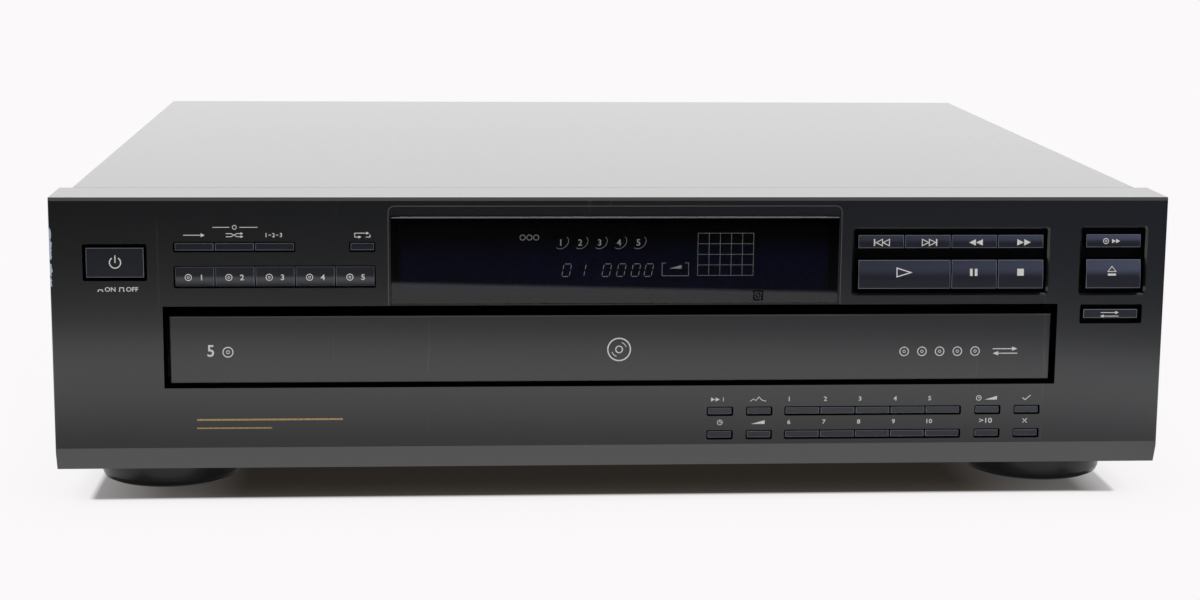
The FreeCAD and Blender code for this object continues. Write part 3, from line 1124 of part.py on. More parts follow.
# ---------------------------------------------------------------- writing the pieces
def pieces():
    """Every piece by its name."""
    made = {
        "top_cover": top_cover(), "front_panel": front_panel(), "chassis": chassis(),
        "rear_panel": rear_panel(), "feet": feet(), "case_screws": case_screws(),
        "display_window": display_window(), "key_board": key_board(), "main_board": main_board(),
        "mechanism_frame": mechanism_frame(), "disc_clamp": disc_clamp(),
        "tray": tray(), "tray_door": tray_door(), "carousel": carousel(),
        "table_gear": table_gear(), "table_motor": table_motor(),
        "loading_gear": loading_gear(), "loading_pinion": loading_pinion(), "loading_motor": loading_motor(),
        "pickup_base": pickup_base(), "optical_pickup": optical_pickup(), "spindle_hub": spindle_hub(),
    }
    made.update(keys())
    return made


def main():
    """Move every piece to the deck's own origin and write it."""
    os.makedirs("parts", exist_ok=True)
    for name, shape in pieces().items():
        shape.translate(V(0, -DECK_CENTRE_Y, 0))
        shape.exportStep(os.path.join("parts", name + ".step"))


main()
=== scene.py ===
"""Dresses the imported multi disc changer: studio, finishes, legends and the display behind its window."""

import json
import logging
import math
from dataclasses import dataclass
from enum import Enum
from typing import Any

import bmesh
import bpy
import numpy as np
from mathutils import Matrix, Vector
from mathutils.bvhtree import BVHTree

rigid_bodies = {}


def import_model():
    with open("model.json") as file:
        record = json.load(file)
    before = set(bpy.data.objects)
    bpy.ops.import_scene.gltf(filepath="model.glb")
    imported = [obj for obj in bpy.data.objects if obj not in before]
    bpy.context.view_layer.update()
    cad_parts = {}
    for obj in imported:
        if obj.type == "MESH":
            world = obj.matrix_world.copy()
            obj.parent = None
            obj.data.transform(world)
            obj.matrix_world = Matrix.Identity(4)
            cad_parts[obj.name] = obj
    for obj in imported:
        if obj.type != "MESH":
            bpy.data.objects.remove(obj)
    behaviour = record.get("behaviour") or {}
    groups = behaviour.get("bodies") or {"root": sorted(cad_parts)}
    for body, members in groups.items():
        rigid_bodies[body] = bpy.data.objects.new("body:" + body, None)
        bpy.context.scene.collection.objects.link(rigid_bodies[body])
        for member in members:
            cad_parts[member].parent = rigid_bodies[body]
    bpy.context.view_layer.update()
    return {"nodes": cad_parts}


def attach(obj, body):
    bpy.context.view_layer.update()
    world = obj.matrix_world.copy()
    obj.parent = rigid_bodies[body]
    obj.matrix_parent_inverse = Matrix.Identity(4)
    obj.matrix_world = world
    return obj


LOG = logging.getLogger("changer")
FACE_Y = -196.15  # millimetres: the front panel's face, in the row frame
MM = 0.001
EYE = (-66.3, -1093.45, 239.4)  # millimetres: where the camera stands, in the row frame
Points = list[tuple[float, float]]
Place = tuple[float, float, float]
Colour = tuple[float, float, float, float]
Socket = bpy.types.NodeSocket
Tree = bpy.types.NodeTree
Material = bpy.types.Material


# ---------------------------------------------------------------- shared helpers
def linear(code: str) -> Colour:
    """Turns an sRGB hex colour into Blender's linear numbers.

    Args:
        code: six hex digits.

    Returns:
        Red, green and blue, linear, and 1 for opaque.
    """
    parts = [int(code[i:i + 2], 16) / 255 for i in (0, 2, 4)]
    red, green, blue = [p / 12.92 if p <= 0.04045 else ((p + 0.055) / 1.055) ** 2.4 for p in parts]
    return red, green, blue, 1.0


def add_node(tree: Tree, kind: str, inputs: dict[Any, Any] | None = None,
             **settings: Any) -> bpy.types.Node:
    """Adds a node, sets its properties, and gives each named input a value or a link.

    Args:
        tree: the material's or world's node tree.
        kind: the node's Blender type name.
        inputs: socket name or index to a plain value or to another node's output socket.
        **settings: properties of the node itself.

    Returns:
        The new node.
    """
    node = tree.nodes.new(kind)
    for name, value in settings.items():
        setattr(node, name, value)
    for name, value in (inputs or {}).items():
        if isinstance(value, Socket):
            tree.links.new(value, node.inputs[name])
        else:
            node.inputs[name].default_value = value
    return node


def new_material(name: str) -> tuple[Material, Tree, Socket]:
    """Makes an empty node material that reads Object coordinates.

    Args:
        name: the material's name.

    Returns:
        The material, its tree, and the Object coordinate socket in metres.
    """
    material = bpy.data.materials.new(name)
    material.use_nodes = True
    tree = material.node_tree
    tree.nodes.clear()
    coordinate = add_node(tree, "ShaderNodeTexCoord")
    return material, tree, coordinate.outputs["Object"]


def close_material(tree: Tree, shader: Socket) -> None:
    """Links a shader to the material's output."""
    add_node(tree, "ShaderNodeOutputMaterial", {"Surface": shader})


def per_mm(size_mm: float) -> float:
    """The texture scale that makes one feature this many millimetres across, on coordinates in metres."""
    return 1.0 / (size_mm * MM)


def blend_colours(tree: Tree, factor: Any, first: Any, second: Any) -> Socket:
    """Mixes two colours.

    Args:
        tree: the node tree.
        factor: value or socket, 0 gives the first colour.
        first: colour or socket.
        second: colour or socket.

    Returns:
        The mixed colour's socket.
    """
    return add_node(tree, "ShaderNodeMix", {0: factor, 6: first, 7: second}, data_type="RGBA").outputs[2]


def ramp(tree: Tree, value: Socket, stops: list[tuple[float, Any]]) -> Socket:
    """Runs a value through a colour ramp.

    Args:
        tree: the node tree.
        value: the socket to read.
        stops: position with a grey level or a linear colour.

    Returns:
        The ramp's colour socket.
    """
    node = add_node(tree, "ShaderNodeValToRGB", {"Fac": value})
    band = node.color_ramp
    while len(band.elements) < len(stops):
        band.elements.new(1.0)
    for element, (place, level) in zip(band.elements, stops):
        element.position = place
        element.color = level if isinstance(level, tuple) else (level, level, level, 1.0)
    return node.outputs["Color"]


def math_node(tree: Tree, operation: str, *values: Any) -> Socket:
    """Joins numbers or sockets with one arithmetic operation."""
    return add_node(tree, "ShaderNodeMath", dict(enumerate(values)), operation=operation).outputs[0]


def box_mask(tree: Tree, place: Socket, low: Place,
             high: Place, soft: float) -> Socket:
    """A mask that is 1 inside a box and falls to 0 over a soft edge, all in millimetres of the row frame.

    Formula: the product over the three axes of smoothstep(low - soft, low, c) and
    smoothstep(high + soft, high, c).

    Args:
        tree: the node tree.
        place: Object coordinates in metres.
        low: lowest corner.
        high: highest corner.
        soft: width of the edge.

    Returns:
        The mask's socket.
    """
    axes = add_node(tree, "ShaderNodeSeparateXYZ", {0: place})
    product: Any = 1.0
    for index in range(3):
        for edge, sign in ((low[index], -1.0), (high[index], 1.0)):
            step = add_node(tree, "ShaderNodeMapRange", {
                "Value": axes.outputs[index], "From Min": (edge + sign * soft) * MM, "From Max": edge * MM,
            }, interpolation_type="SMOOTHSTEP")
            product = math_node(tree, "MULTIPLY", product, step.outputs["Result"])
    return product


# ---------------------------------------------------------------- finishes
class Grain(Enum):
    """How a surface's fine pattern was made."""

    MOULDED = "moulded"
    BRUSHED = "brushed"
    SPANGLED = "spangled"


@dataclass(frozen=True)
class Finish:
    """A plastic, paint or metal with a fine pattern in colour, gloss and relief.

    Attributes:
        name: the material's name.
        colour: sRGB hex of the surface.
        shade: sRGB hex that the pattern varies towards.
        grain_mm: size of the pattern.
        roughness: lowest and highest roughness, which the pattern moves between.
        relief_mm: height of the relief.
        metallic: 1 for bare metal.
        coat: weight of the gloss layer.
        coat_roughness: roughness of the gloss layer.
        specular: level of the plain reflection.
        grain: how the pattern was made.
        stain_mm: size of the slow stains.
    """

    name: str
    colour: str
    shade: str
    grain_mm: float = 0.8
    roughness: tuple[float, float] = (0.35, 0.45)
    relief_mm: float = 0.01
    metallic: float = 0.0
    coat: float = 0.0
    coat_roughness: float = 0.1
    specular: float = 0.5
    grain: Grain = Grain.MOULDED
    stain_mm: float = 40.0

    def pattern(self, tree: Tree, place: Socket) -> Socket:
        """The grey pattern of the grain, from 0 to 1."""
        if self.grain is Grain.SPANGLED:
            cells = add_node(tree, "ShaderNodeTexVoronoi", {
                "Vector": place, "Scale": per_mm(self.grain_mm)})
            return add_node(tree, "ShaderNodeSeparateColor", {0: cells.outputs["Color"]}).outputs[0]
        if self.grain is Grain.BRUSHED:
            long_way = add_node(tree, "ShaderNodeMapping", {"Vector": place, "Scale": (0.04, 1.0, 1.0)})
            place = long_way.outputs[0]
        noise = add_node(tree, "ShaderNodeTexNoise", {
            "Vector": place, "Scale": per_mm(self.grain_mm), "Detail": 3.0})
        return noise.outputs["Fac"]

    def colours(self, tree: Tree, place: Socket,
                pattern: Socket) -> Socket:
        """The surface colour: the pattern's mix, with slow stains."""
        fine = blend_colours(tree, pattern, linear(self.colour), linear(self.shade))
        slow = add_node(tree, "ShaderNodeTexNoise", {
            "Vector": place, "Scale": per_mm(self.stain_mm), "Detail": 2.0})
        return blend_colours(tree, ramp(tree, slow.outputs["Fac"], [(0.35, 0.0), (0.75, 0.35)]), fine,
                             linear(self.shade))

    def shader(self, tree: Tree, colour: Socket, pattern: Socket,
               dull: Socket | float = 0.0) -> Socket:
        """The Principled shader with the finish's own gloss and relief; where dull is 1 it hardly shines."""
        shine = math_node(tree, "SUBTRACT", 1.0, dull)
        gloss = add_node(tree, "ShaderNodeMapRange", {
            "Value": pattern, "To Min": self.roughness[0], "To Max": self.roughness[1]})
        relief = add_node(tree, "ShaderNodeBump", {
            "Height": pattern, "Strength": 0.6, "Distance": self.relief_mm * MM})
        return add_node(tree, "ShaderNodeBsdfPrincipled", {
            "Base Color": colour, "Roughness": gloss.outputs[0], "Normal": relief.outputs[0],
            "Metallic": self.metallic, "Coat Weight": math_node(tree, "MULTIPLY", shine, self.coat),
            "Coat Roughness": self.coat_roughness,
            "Specular IOR Level": math_node(tree, "MULTIPLY_ADD", shine, 0.9 * self.specular,
                                            0.1 * self.specular),
        }).outputs[0]

    def build(self) -> Material:
        """Makes the material."""
        material, tree, place = new_material(self.name)
        pattern = self.pattern(tree, place)
        close_material(tree, self.shader(tree, self.colours(tree, place, pattern), pattern))
        return material


@dataclass(frozen=True)
class PanelPaint(Finish):
    """Satin black paint on moulded ABS, with dust, fine scratches, one chipped edge and painted shade in the
    wells behind its face.

    Attributes:
        dust: sRGB hex of the specks.
        hairline: sRGB hex of the scratches.
        chipped: sRGB hex of the chipped edge.
        painted_well_shade: sRGB hex of the painted shade in the wells behind the face.
        speck_mm: spacing of the specks.
        hair_mm: width of the noise that the hairlines are cut from.
        ragged_mm: size of the chipped edge's teeth.
        chip_low: lowest corner of the chipped edge, millimetres.
        chip_high: highest corner of the chipped edge.
        well_shade_low: lowest corner of the room behind the face, where shade is painted.
        well_shade_high: highest corner of that room.
    """

    dust: str = "8f8a84"
    hairline: str = "55565a"
    chipped: str = "b4c2d6"
    painted_well_shade: str = "0a0a0c"
    speck_mm: float = 17.0
    hair_mm: float = 2.5
    ragged_mm: float = 3.0
    chip_low: Place = (-216.0, -197.0, 84.0)
    chip_high: Place = (-214.9, -194.6, 106.0)
    well_shade_low: Place = (-212.0, -194.7, 20.0)
    well_shade_high: Place = (212.0, -184.0, 115.5)

    def build(self) -> Material:
        """Makes the paint: dust lies as dots of about 0.4 mm, scratches as broken hairlines."""
        material, tree, place = new_material(self.name)
        pattern = self.pattern(tree, place)
        colour = self.colours(tree, place, pattern)
        specks = add_node(tree, "ShaderNodeTexVoronoi", {"Vector": place, "Scale": per_mm(self.speck_mm)})
        chosen = add_node(tree, "ShaderNodeSeparateColor", {0: specks.outputs["Color"]}).outputs[1]
        size = math_node(tree, "MULTIPLY", math_node(tree, "SUBTRACT", chosen, 0.45), 0.03)
        dots = math_node(tree, "LESS_THAN", specks.outputs["Distance"], size)
        colour = blend_colours(tree, math_node(tree, "MULTIPLY", dots, 0.8), colour, linear(self.dust))
        turned = add_node(tree, "ShaderNodeMapping", {
            "Vector": place, "Rotation": (0.0, 0.5, 0.0), "Scale": (1.0, 1.0, 0.03)})
        hairs = add_node(tree, "ShaderNodeTexNoise", {
            "Vector": turned.outputs[0], "Scale": per_mm(self.hair_mm), "Detail": 4.0})
        scratch = ramp(tree, hairs.outputs["Fac"], [(0.71, 0.0), (0.73, 0.3), (0.75, 0.0)])
        colour = blend_colours(tree, scratch, colour, linear(self.hairline))
        ragged = add_node(tree, "ShaderNodeTexNoise", {
            "Vector": place, "Scale": per_mm(self.ragged_mm), "Detail": 5.0})
        edge = math_node(tree, "GREATER_THAN", math_node(tree, "MULTIPLY", box_mask(
            tree, place, self.chip_low, self.chip_high, 2.4), ragged.outputs["Fac"]), 0.4)
        colour = blend_colours(tree, edge, colour, linear(self.chipped))
        # Painted shade: surfaces set back behind the face are painted near black and their gloss damped, as
        # shade falls in these recesses.
        inside = box_mask(tree, place, self.well_shade_low, self.well_shade_high, 0.4)
        colour = blend_colours(tree, inside, colour, linear(self.painted_well_shade))
        close_material(tree, self.shader(tree, colour, pattern, inside))
        return material


@dataclass(frozen=True)
class KeyPlastic(Finish):
    """Moulded key plastic whose rounded edges carry a painted highlight and whose sides carry painted shade.

    Attributes:
        painted_edge_highlight: sRGB hex of the painted highlight on the rounded edges.
        flank: sRGB hex of the sides, which no light reaches.
    """

    painted_edge_highlight: str = "8a8f9e"
    flank: str = "08080a"

    def build(self) -> Material:
        """Makes the plastic: an edge is where the surface turns from its face, along -Y, to a side."""
        material, tree, place = new_material(self.name)
        pattern = self.pattern(tree, place)
        turned = add_node(tree, "ShaderNodeSeparateXYZ",
                          {0: add_node(tree, "ShaderNodeTexCoord").outputs["Normal"]}).outputs[1]
        turned = math_node(tree, "ABSOLUTE", turned)
        # Painted highlight: the rounded edges are painted lighter and bluer, broken up by the grain; painted
        # shade: the sides are painted near black and dulled.
        edge = ramp(tree, turned, [(0.74, 0.0), (0.8, 1.0), (0.92, 1.0), (0.96, 0.0)])
        side = ramp(tree, turned, [(0.4, 1.0), (0.74, 0.0)])
        highlight_grain = ramp(tree, pattern, [(0.3, 0.6), (0.6, 1.0)])
        colour = blend_colours(tree, math_node(tree, "MULTIPLY", edge, highlight_grain),
                               self.colours(tree, place, pattern), linear(self.painted_edge_highlight))
        colour = blend_colours(tree, side, colour, linear(self.flank))
        close_material(tree, self.shader(tree, colour, pattern, side))
        return material


@dataclass(frozen=True)
class SheenCard(Finish):
    """Card behind the window with a painted bluish sheen across its middle, fading to brown-black at its top.

    Attributes:
        top: sRGB hex of the top.
        heights_mm: where the blue starts to fade and where it has gone.
    """

    top: str = "33241f"
    heights_mm: tuple[float, float] = (94.0, 102.0)

    def colours(self, tree: Tree, place: Socket,
                pattern: Socket) -> Socket:
        """The plain colours, faded to the top's by height."""
        height = add_node(tree, "ShaderNodeSeparateXYZ", {0: place}).outputs[2]
        start, end = self.heights_mm
        fade = add_node(tree, "ShaderNodeMapRange", {
            "Value": height, "From Min": start * MM, "From Max": end * MM})
        return blend_colours(tree, fade.outputs[0], super().colours(tree, place, pattern), linear(self.top))


@dataclass(frozen=True)
class BoardFinish(Finish):
    """Green circuit board, with what stands on it in other colours by its place.

    Attributes:
        track: sRGB hex of the copper tracks under the lacquer.
        grid_mm: pitch of the tracks.
        track_mm: width of a track.
        grime: sRGB hex that the parts on the board vary towards.
        zones: lowest and highest corner in millimetres, sRGB hex and metallic share of each part on it.
    """

    track: str = "4f8a55"
    grid_mm: float = 2.54
    track_mm: float = 0.35
    grime: str = "0c0c0d"
    zones: tuple[tuple[Place, Place, str, float], ...] = ()

    def build(self) -> Material:
        """Makes the board: tracks under the lacquer, then one colour per zone."""
        material, tree, place = new_material(self.name)
        pattern = self.pattern(tree, place)
        tracks = add_node(tree, "ShaderNodeTexBrick", {
            "Vector": place, "Scale": 1.0, "Brick Width": 4.0 * self.grid_mm * MM,
            "Row Height": self.grid_mm * MM, "Mortar Size": self.track_mm * MM,
            "Color1": linear(self.colour), "Color2": linear(self.shade), "Mortar": linear(self.track),
        })
        colour, metal = tracks.outputs["Color"], 0.0
        for low, high, code, share in self.zones:
            mask = box_mask(tree, place, low, high, 0.05)
            tone = blend_colours(tree, math_node(tree, "MULTIPLY", pattern, 0.3), linear(code),
                                 linear(self.grime))
            colour = blend_colours(tree, mask, colour, tone)
            metal = math_node(tree, "MAXIMUM", metal, math_node(tree, "MULTIPLY", mask, share))
        close_material(tree, add_node(tree, "ShaderNodeBsdfPrincipled", {
            "Base Color": colour, "Metallic": metal, "Roughness": 0.4}).outputs[0])
        return material


@dataclass(frozen=True)
class SmokedAcrylic:
    """Smoked cast acrylic, polished: it darkens what is behind it and mirrors the table at its foot.

    Attributes:
        name: the material's name.
        tint: sRGB hex of the clean acrylic.
        wiped: sRGB hex under the wipe marks.
        ior: index of refraction.
        wipe_mm: width of a wipe mark.
        gloss: lowest and highest roughness, which the wipe marks move between.
    """

    name: str = "smoked_acrylic"
    tint: str = "a8a8b2"
    wiped: str = "9e9eac"
    ior: float = 1.49
    wipe_mm: float = 30.0
    gloss: tuple[float, float] = (0.004, 0.014)

    def build(self) -> Material:
        """Makes the acrylic, with faint wipe marks of about 30 mm in its gloss."""
        material, tree, place = new_material(self.name)
        wipes = add_node(tree, "ShaderNodeTexNoise", {
            "Vector": place, "Scale": per_mm(self.wipe_mm), "Detail": 3.0})
        gloss = add_node(tree, "ShaderNodeMapRange", {
            "Value": wipes.outputs["Fac"], "To Min": self.gloss[0], "To Max": self.gloss[1]})
        tone = blend_colours(tree, wipes.outputs["Fac"], linear(self.tint), linear(self.wiped))
        close_material(tree, add_node(tree, "ShaderNodeBsdfPrincipled", {
            "Base Color": tone, "Roughness": gloss.outputs[0], "IOR": self.ior,
            "Transmission Weight": 1.0}).outputs[0])
        return material


@dataclass(frozen=True)
class Ink:
    """Screen-printed ink, or a display figure with a painted glow: a thin opaque layer, slightly uneven.

    Attributes:
        name: the material's name.
        colour: sRGB hex of the ink.
        worn: sRGB hex of its thin places.
        glow: emission strength, 0 for ink.
        unlit: sRGB hex of a glowing figure's own surface, under its painted glow.
        uneven_mm: size of its thin places.
    """

    name: str
    colour: str
    worn: str
    glow: float = 0.0
    unlit: str = "101210"
    uneven_mm: float = 0.6

    def build(self) -> Material:
        """Makes the ink."""
        material, tree, place = new_material(self.name)
        noise = add_node(tree, "ShaderNodeTexNoise", {
            "Vector": place, "Scale": per_mm(self.uneven_mm), "Detail": 2.0})
        tone = blend_colours(tree, ramp(tree, noise.outputs["Fac"], [(0.4, 0.0), (0.7, 1.0)]),
                             linear(self.colour), linear(self.worn))
        lit = {"Emission Color": tone, "Emission Strength": self.glow} if self.glow else {}
        base = linear(self.unlit) if self.glow else tone
        close_material(tree, add_node(tree, "ShaderNodeBsdfPrincipled", {
            "Base Color": base, "Roughness": 0.6, "Specular IOR Level": 0.1, **lit}).outputs[0])
        return material


# ---------------------------------------------------------------- drawing on faces
SEGMENTS = {"0": "abcdef", "1": "bc", "2": "abged", "3": "abgcd", "4": "fgbc", "5": "afgcd",
            "6": "afgedc", "7": "abc", "8": "abcdefg", "9": "abcdfg", "-": "g"}


class Drawing:
    """Flat shapes gathered as faces, in millimetres: x to the right and z up from the table."""

    def __init__(self) -> None:
        """Starts empty."""
        self.points: list[np.ndarray] = []
        self.faces: list[list[int]] = []
        self.count = 0

    def add(self, points: np.ndarray, faces: list[list[int]]) -> None:
        """Adds faces with their own points."""
        self.points.append(np.asarray(points, dtype=float))
        self.faces += [[self.count + i for i in face] for face in faces]
        self.count += len(points)

    def fill(self, outline: Points) -> "Drawing":
        """Adds one filled outline, given anticlockwise."""
        self.add(np.array(outline), [list(range(len(outline)))])
        return self

    def block(self, left: float, low: float, right: float, high: float) -> "Drawing":
        """Adds one filled upright rectangle."""
        return self.fill([(left, low), (right, low), (right, high), (left, high)])

    def stroke(self, line: Points, width: float, closed: bool = False) -> "Drawing":
        """Adds a line of constant width with mitred corners.

        Formula: each point moves half the width along the mean of its two neighbours' normals, divided by the
        cosine of half the turn, to both sides; quads join the pairs.

        Args:
            line: the centre line.
            width: full width.
            closed: whether the last point joins the first.
        """
        centre = np.array(line, dtype=float)
        ahead = np.roll(centre, -1, axis=0) - centre
        behind = centre - np.roll(centre, 1, axis=0)
        if not closed:
            ahead[-1], behind[0] = behind[-1], ahead[0]
        normals = [np.stack([-d[:, 1], d[:, 0]], axis=1) / np.linalg.norm(d, axis=1, keepdims=True)
                   for d in (ahead, behind)]
        middle = normals[0] + normals[1]
        middle /= np.linalg.norm(middle, axis=1, keepdims=True)
        reach = 0.5 * width / np.maximum((middle * normals[0]).sum(axis=1, keepdims=True), 0.3)
        count = len(centre)
        pairs = [(i, (i + 1) % count) for i in range(count if closed else count - 1)]
        self.add(np.vstack([centre + middle * reach, centre - middle * reach]),
                 [[count + i, count + j, j, i] for i, j in pairs])
        return self

    def arc(self, x: float, z: float, radius: float, width: float, start: float = 0.0, end: float = 360.0,
            squeeze: float = 1.0, lean: float = 0.0) -> "Drawing":
        """Adds an arc or ring, t in degrees.

        Formula: x + radius * squeeze * cos(t) + lean * dz across, z + radius * sin(t) up.
        """
        closed = abs(end - start) >= 360.0
        turn = np.radians(np.linspace(start, end, 28, endpoint=not closed))
        rise = radius * np.sin(turn)
        across = x + radius * squeeze * np.cos(turn) + lean * rise
        return self.stroke(list(zip(across, z + rise)), width, closed)

    def number(self, words: str, x: float, z: float, height: float, anchor: float = 0.5,
               wide: float = 1.0) -> "Drawing":
        """Adds plain figures with the built-in font, turned into faces before they are placed.

        Args:
            words: the figures.
            x: the anchor's place.
            z: the figures' lowest line.
            height: height of a figure.
            anchor: 0 puts x at the left end, 0.5 at the middle, 1 at the right.
            wide: stretch of the width.
        """
        curve = bpy.data.curves.new("figures", "FONT")
        curve.body, curve.resolution_u, curve.offset = words, 3, 0.012
        holder = bpy.data.objects.new("figures", curve)
        mesh = bpy.data.meshes.new_from_object(holder)
        flat = np.empty(len(mesh.vertices) * 3)
        mesh.vertices.foreach_get("co", flat)
        flat = flat.reshape(-1, 3)[:, :2]
        low, high = flat.min(axis=0), flat.max(axis=0)
        scale = height / (high[1] - low[1])
        flat = (flat - (low[0] + anchor * (high[0] - low[0]), low[1])) * (scale * wide, scale)
        self.add(flat + (x, z), [list(p.vertices) for p in mesh.polygons])
        for item, store in ((holder, bpy.data.objects), (mesh, bpy.data.meshes), (curve, bpy.data.curves)):
            store.remove(item)
        return self

    def segments(self, figure: str, x: float, z: float, width: float, height: float, lean: float,
                 line: float) -> "Drawing":
        """Adds one seven-bar figure, leaning by lean times its height."""
        def at(u: float, v: float) -> tuple[float, float]:
            """A point of the figure's cell, u across and v up, both 0 to 1."""
            return x + u * width + lean * v * height, z + v * height
        bars = {"a": (0, 1, 1, 1), "b": (1, 1, 1, 0.5), "c": (1, 0.5, 1, 0), "d": (0, 0, 1, 0),
                "e": (0, 0.5, 0, 0), "f": (0, 1, 0, 0.5), "g": (0, 0.5, 1, 0.5)}
        for bar in SEGMENTS[figure]:
            u0, v0, u1, v1 = bars[bar]
            gap_u, gap_v = 0.12 * np.sign(u1 - u0), 0.08 * np.sign(v1 - v0)
            self.stroke([at(u0 + gap_u, v0 + gap_v), at(u1 - gap_u, v1 - gap_v)], line)
        return self


@dataclass
class Printer:
    """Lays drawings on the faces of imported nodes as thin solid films.

    Attributes:
        nodes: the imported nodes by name.
        lift_mm: how far a film stands proud of its face.
    """

    nodes: dict[str, bpy.types.Object]
    lift_mm: float = 0.03

    def face_depth(self, node: str, x: float, heights: np.ndarray) -> np.ndarray:
        """The front face's y at each height, in row millimetres, read by rays along +Y at one x.

        Args:
            node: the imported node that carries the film.
            x: where the rays go.
            heights: their heights.

        Returns:
            One depth per height.
        """
        mesh = self.nodes[node].data
        flat = np.empty(len(mesh.vertices) * 3)
        mesh.vertices.foreach_get("co", flat)
        tree = BVHTree.FromPolygons([Vector(p) for p in flat.reshape(-1, 3)],
                                    [tuple(p.vertices) for p in mesh.polygons])
        hits = [tree.ray_cast(Vector((x * MM, -0.3, z * MM)), Vector((0, 1, 0)))[0] for z in heights]
        found = [hit.y / MM for hit in hits if hit is not None]
        if not found:
            raise ValueError(f"no face of {node} at x {x}")
        return np.array([hit.y / MM if hit is not None else found[0] for hit in hits])

    def lay(self, name: str, drawing: Drawing, node: str, body: str, material: Material,
            depth: float | None = None) -> bpy.types.Object:
        """Puts a drawing on a node's front face and lets it ride on the node's body.

        Formula: a point keeps its x and z, and its y is the face's depth at that height less the lift.

        Args:
            name: the new piece's name.
            drawing: the shapes.
            node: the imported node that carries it.
            body: the body that it moves with.
            material: its ink.
            depth: a fixed y in row millimetres, instead of the node's face.

        Returns:
            The new piece.
        """
        flat = np.vstack(drawing.points)
        low, high = flat[:, 1].min(), flat[:, 1].max()
        shape = bmesh.new()
        for x, z in flat:
            shape.verts.new((x, 0.0, z))
        shape.verts.ensure_lookup_table()
        for face in drawing.faces:
            shape.faces.new([shape.verts[i] for i in face])
        if depth is None:
            heights = np.linspace(low, high, 13)
            depths = self.face_depth(node, float(flat[:, 0].mean()), heights)
            if np.ptp(depths) > 0.02:
                for height in np.arange(low + 0.4, high, 0.4):
                    bmesh.ops.bisect_plane(shape, geom=shape.verts[:] + shape.edges[:] + shape.faces[:],
                                           plane_co=(0, 0, height), plane_no=(0, 0, 1))
        else:
            heights, depths = np.array([low, high]), np.array([depth, depth])
        mesh = bpy.data.meshes.new(name)
        shape.to_mesh(mesh)
        shape.free()
        place = np.empty(len(mesh.vertices) * 3)
        mesh.vertices.foreach_get("co", place)
        place = place.reshape(-1, 3)
        place[:, 1] = np.interp(place[:, 2], heights, depths) - self.lift_mm
        mesh.vertices.foreach_set("co", (place * MM).ravel())
        return finish_piece(name, mesh, body, material, thick_mm=2 * self.lift_mm)


def finish_piece(name: str, mesh: bpy.types.Mesh, body: str, material: Material,
                 thick_mm: float = 0.0) -> bpy.types.Object:
    """Makes a mesh a piece of the object: a wall if it is a sheet, its finish and its body.

    Args:
        name: the piece's name.
        mesh: its mesh, in metres of the row frame.
        body: the body that it moves with.
        material: its finish.
        thick_mm: thickness that a Solidify modifier gives a sheet, behind its face.

    Returns:
        The piece.
    """
    mesh.update()
    piece = bpy.data.objects.new(name, mesh)
    bpy.context.scene.collection.objects.link(piece)
    mesh.materials.append(material)
    if thick_mm:
        wall = piece.modifiers.new("film", "SOLIDIFY")
        wall.thickness, wall.offset = thick_mm * MM, -1.0
    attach(piece, body)
    LOG.info("made %s on %s: %d faces", name, body, len(mesh.polygons))
    return piece


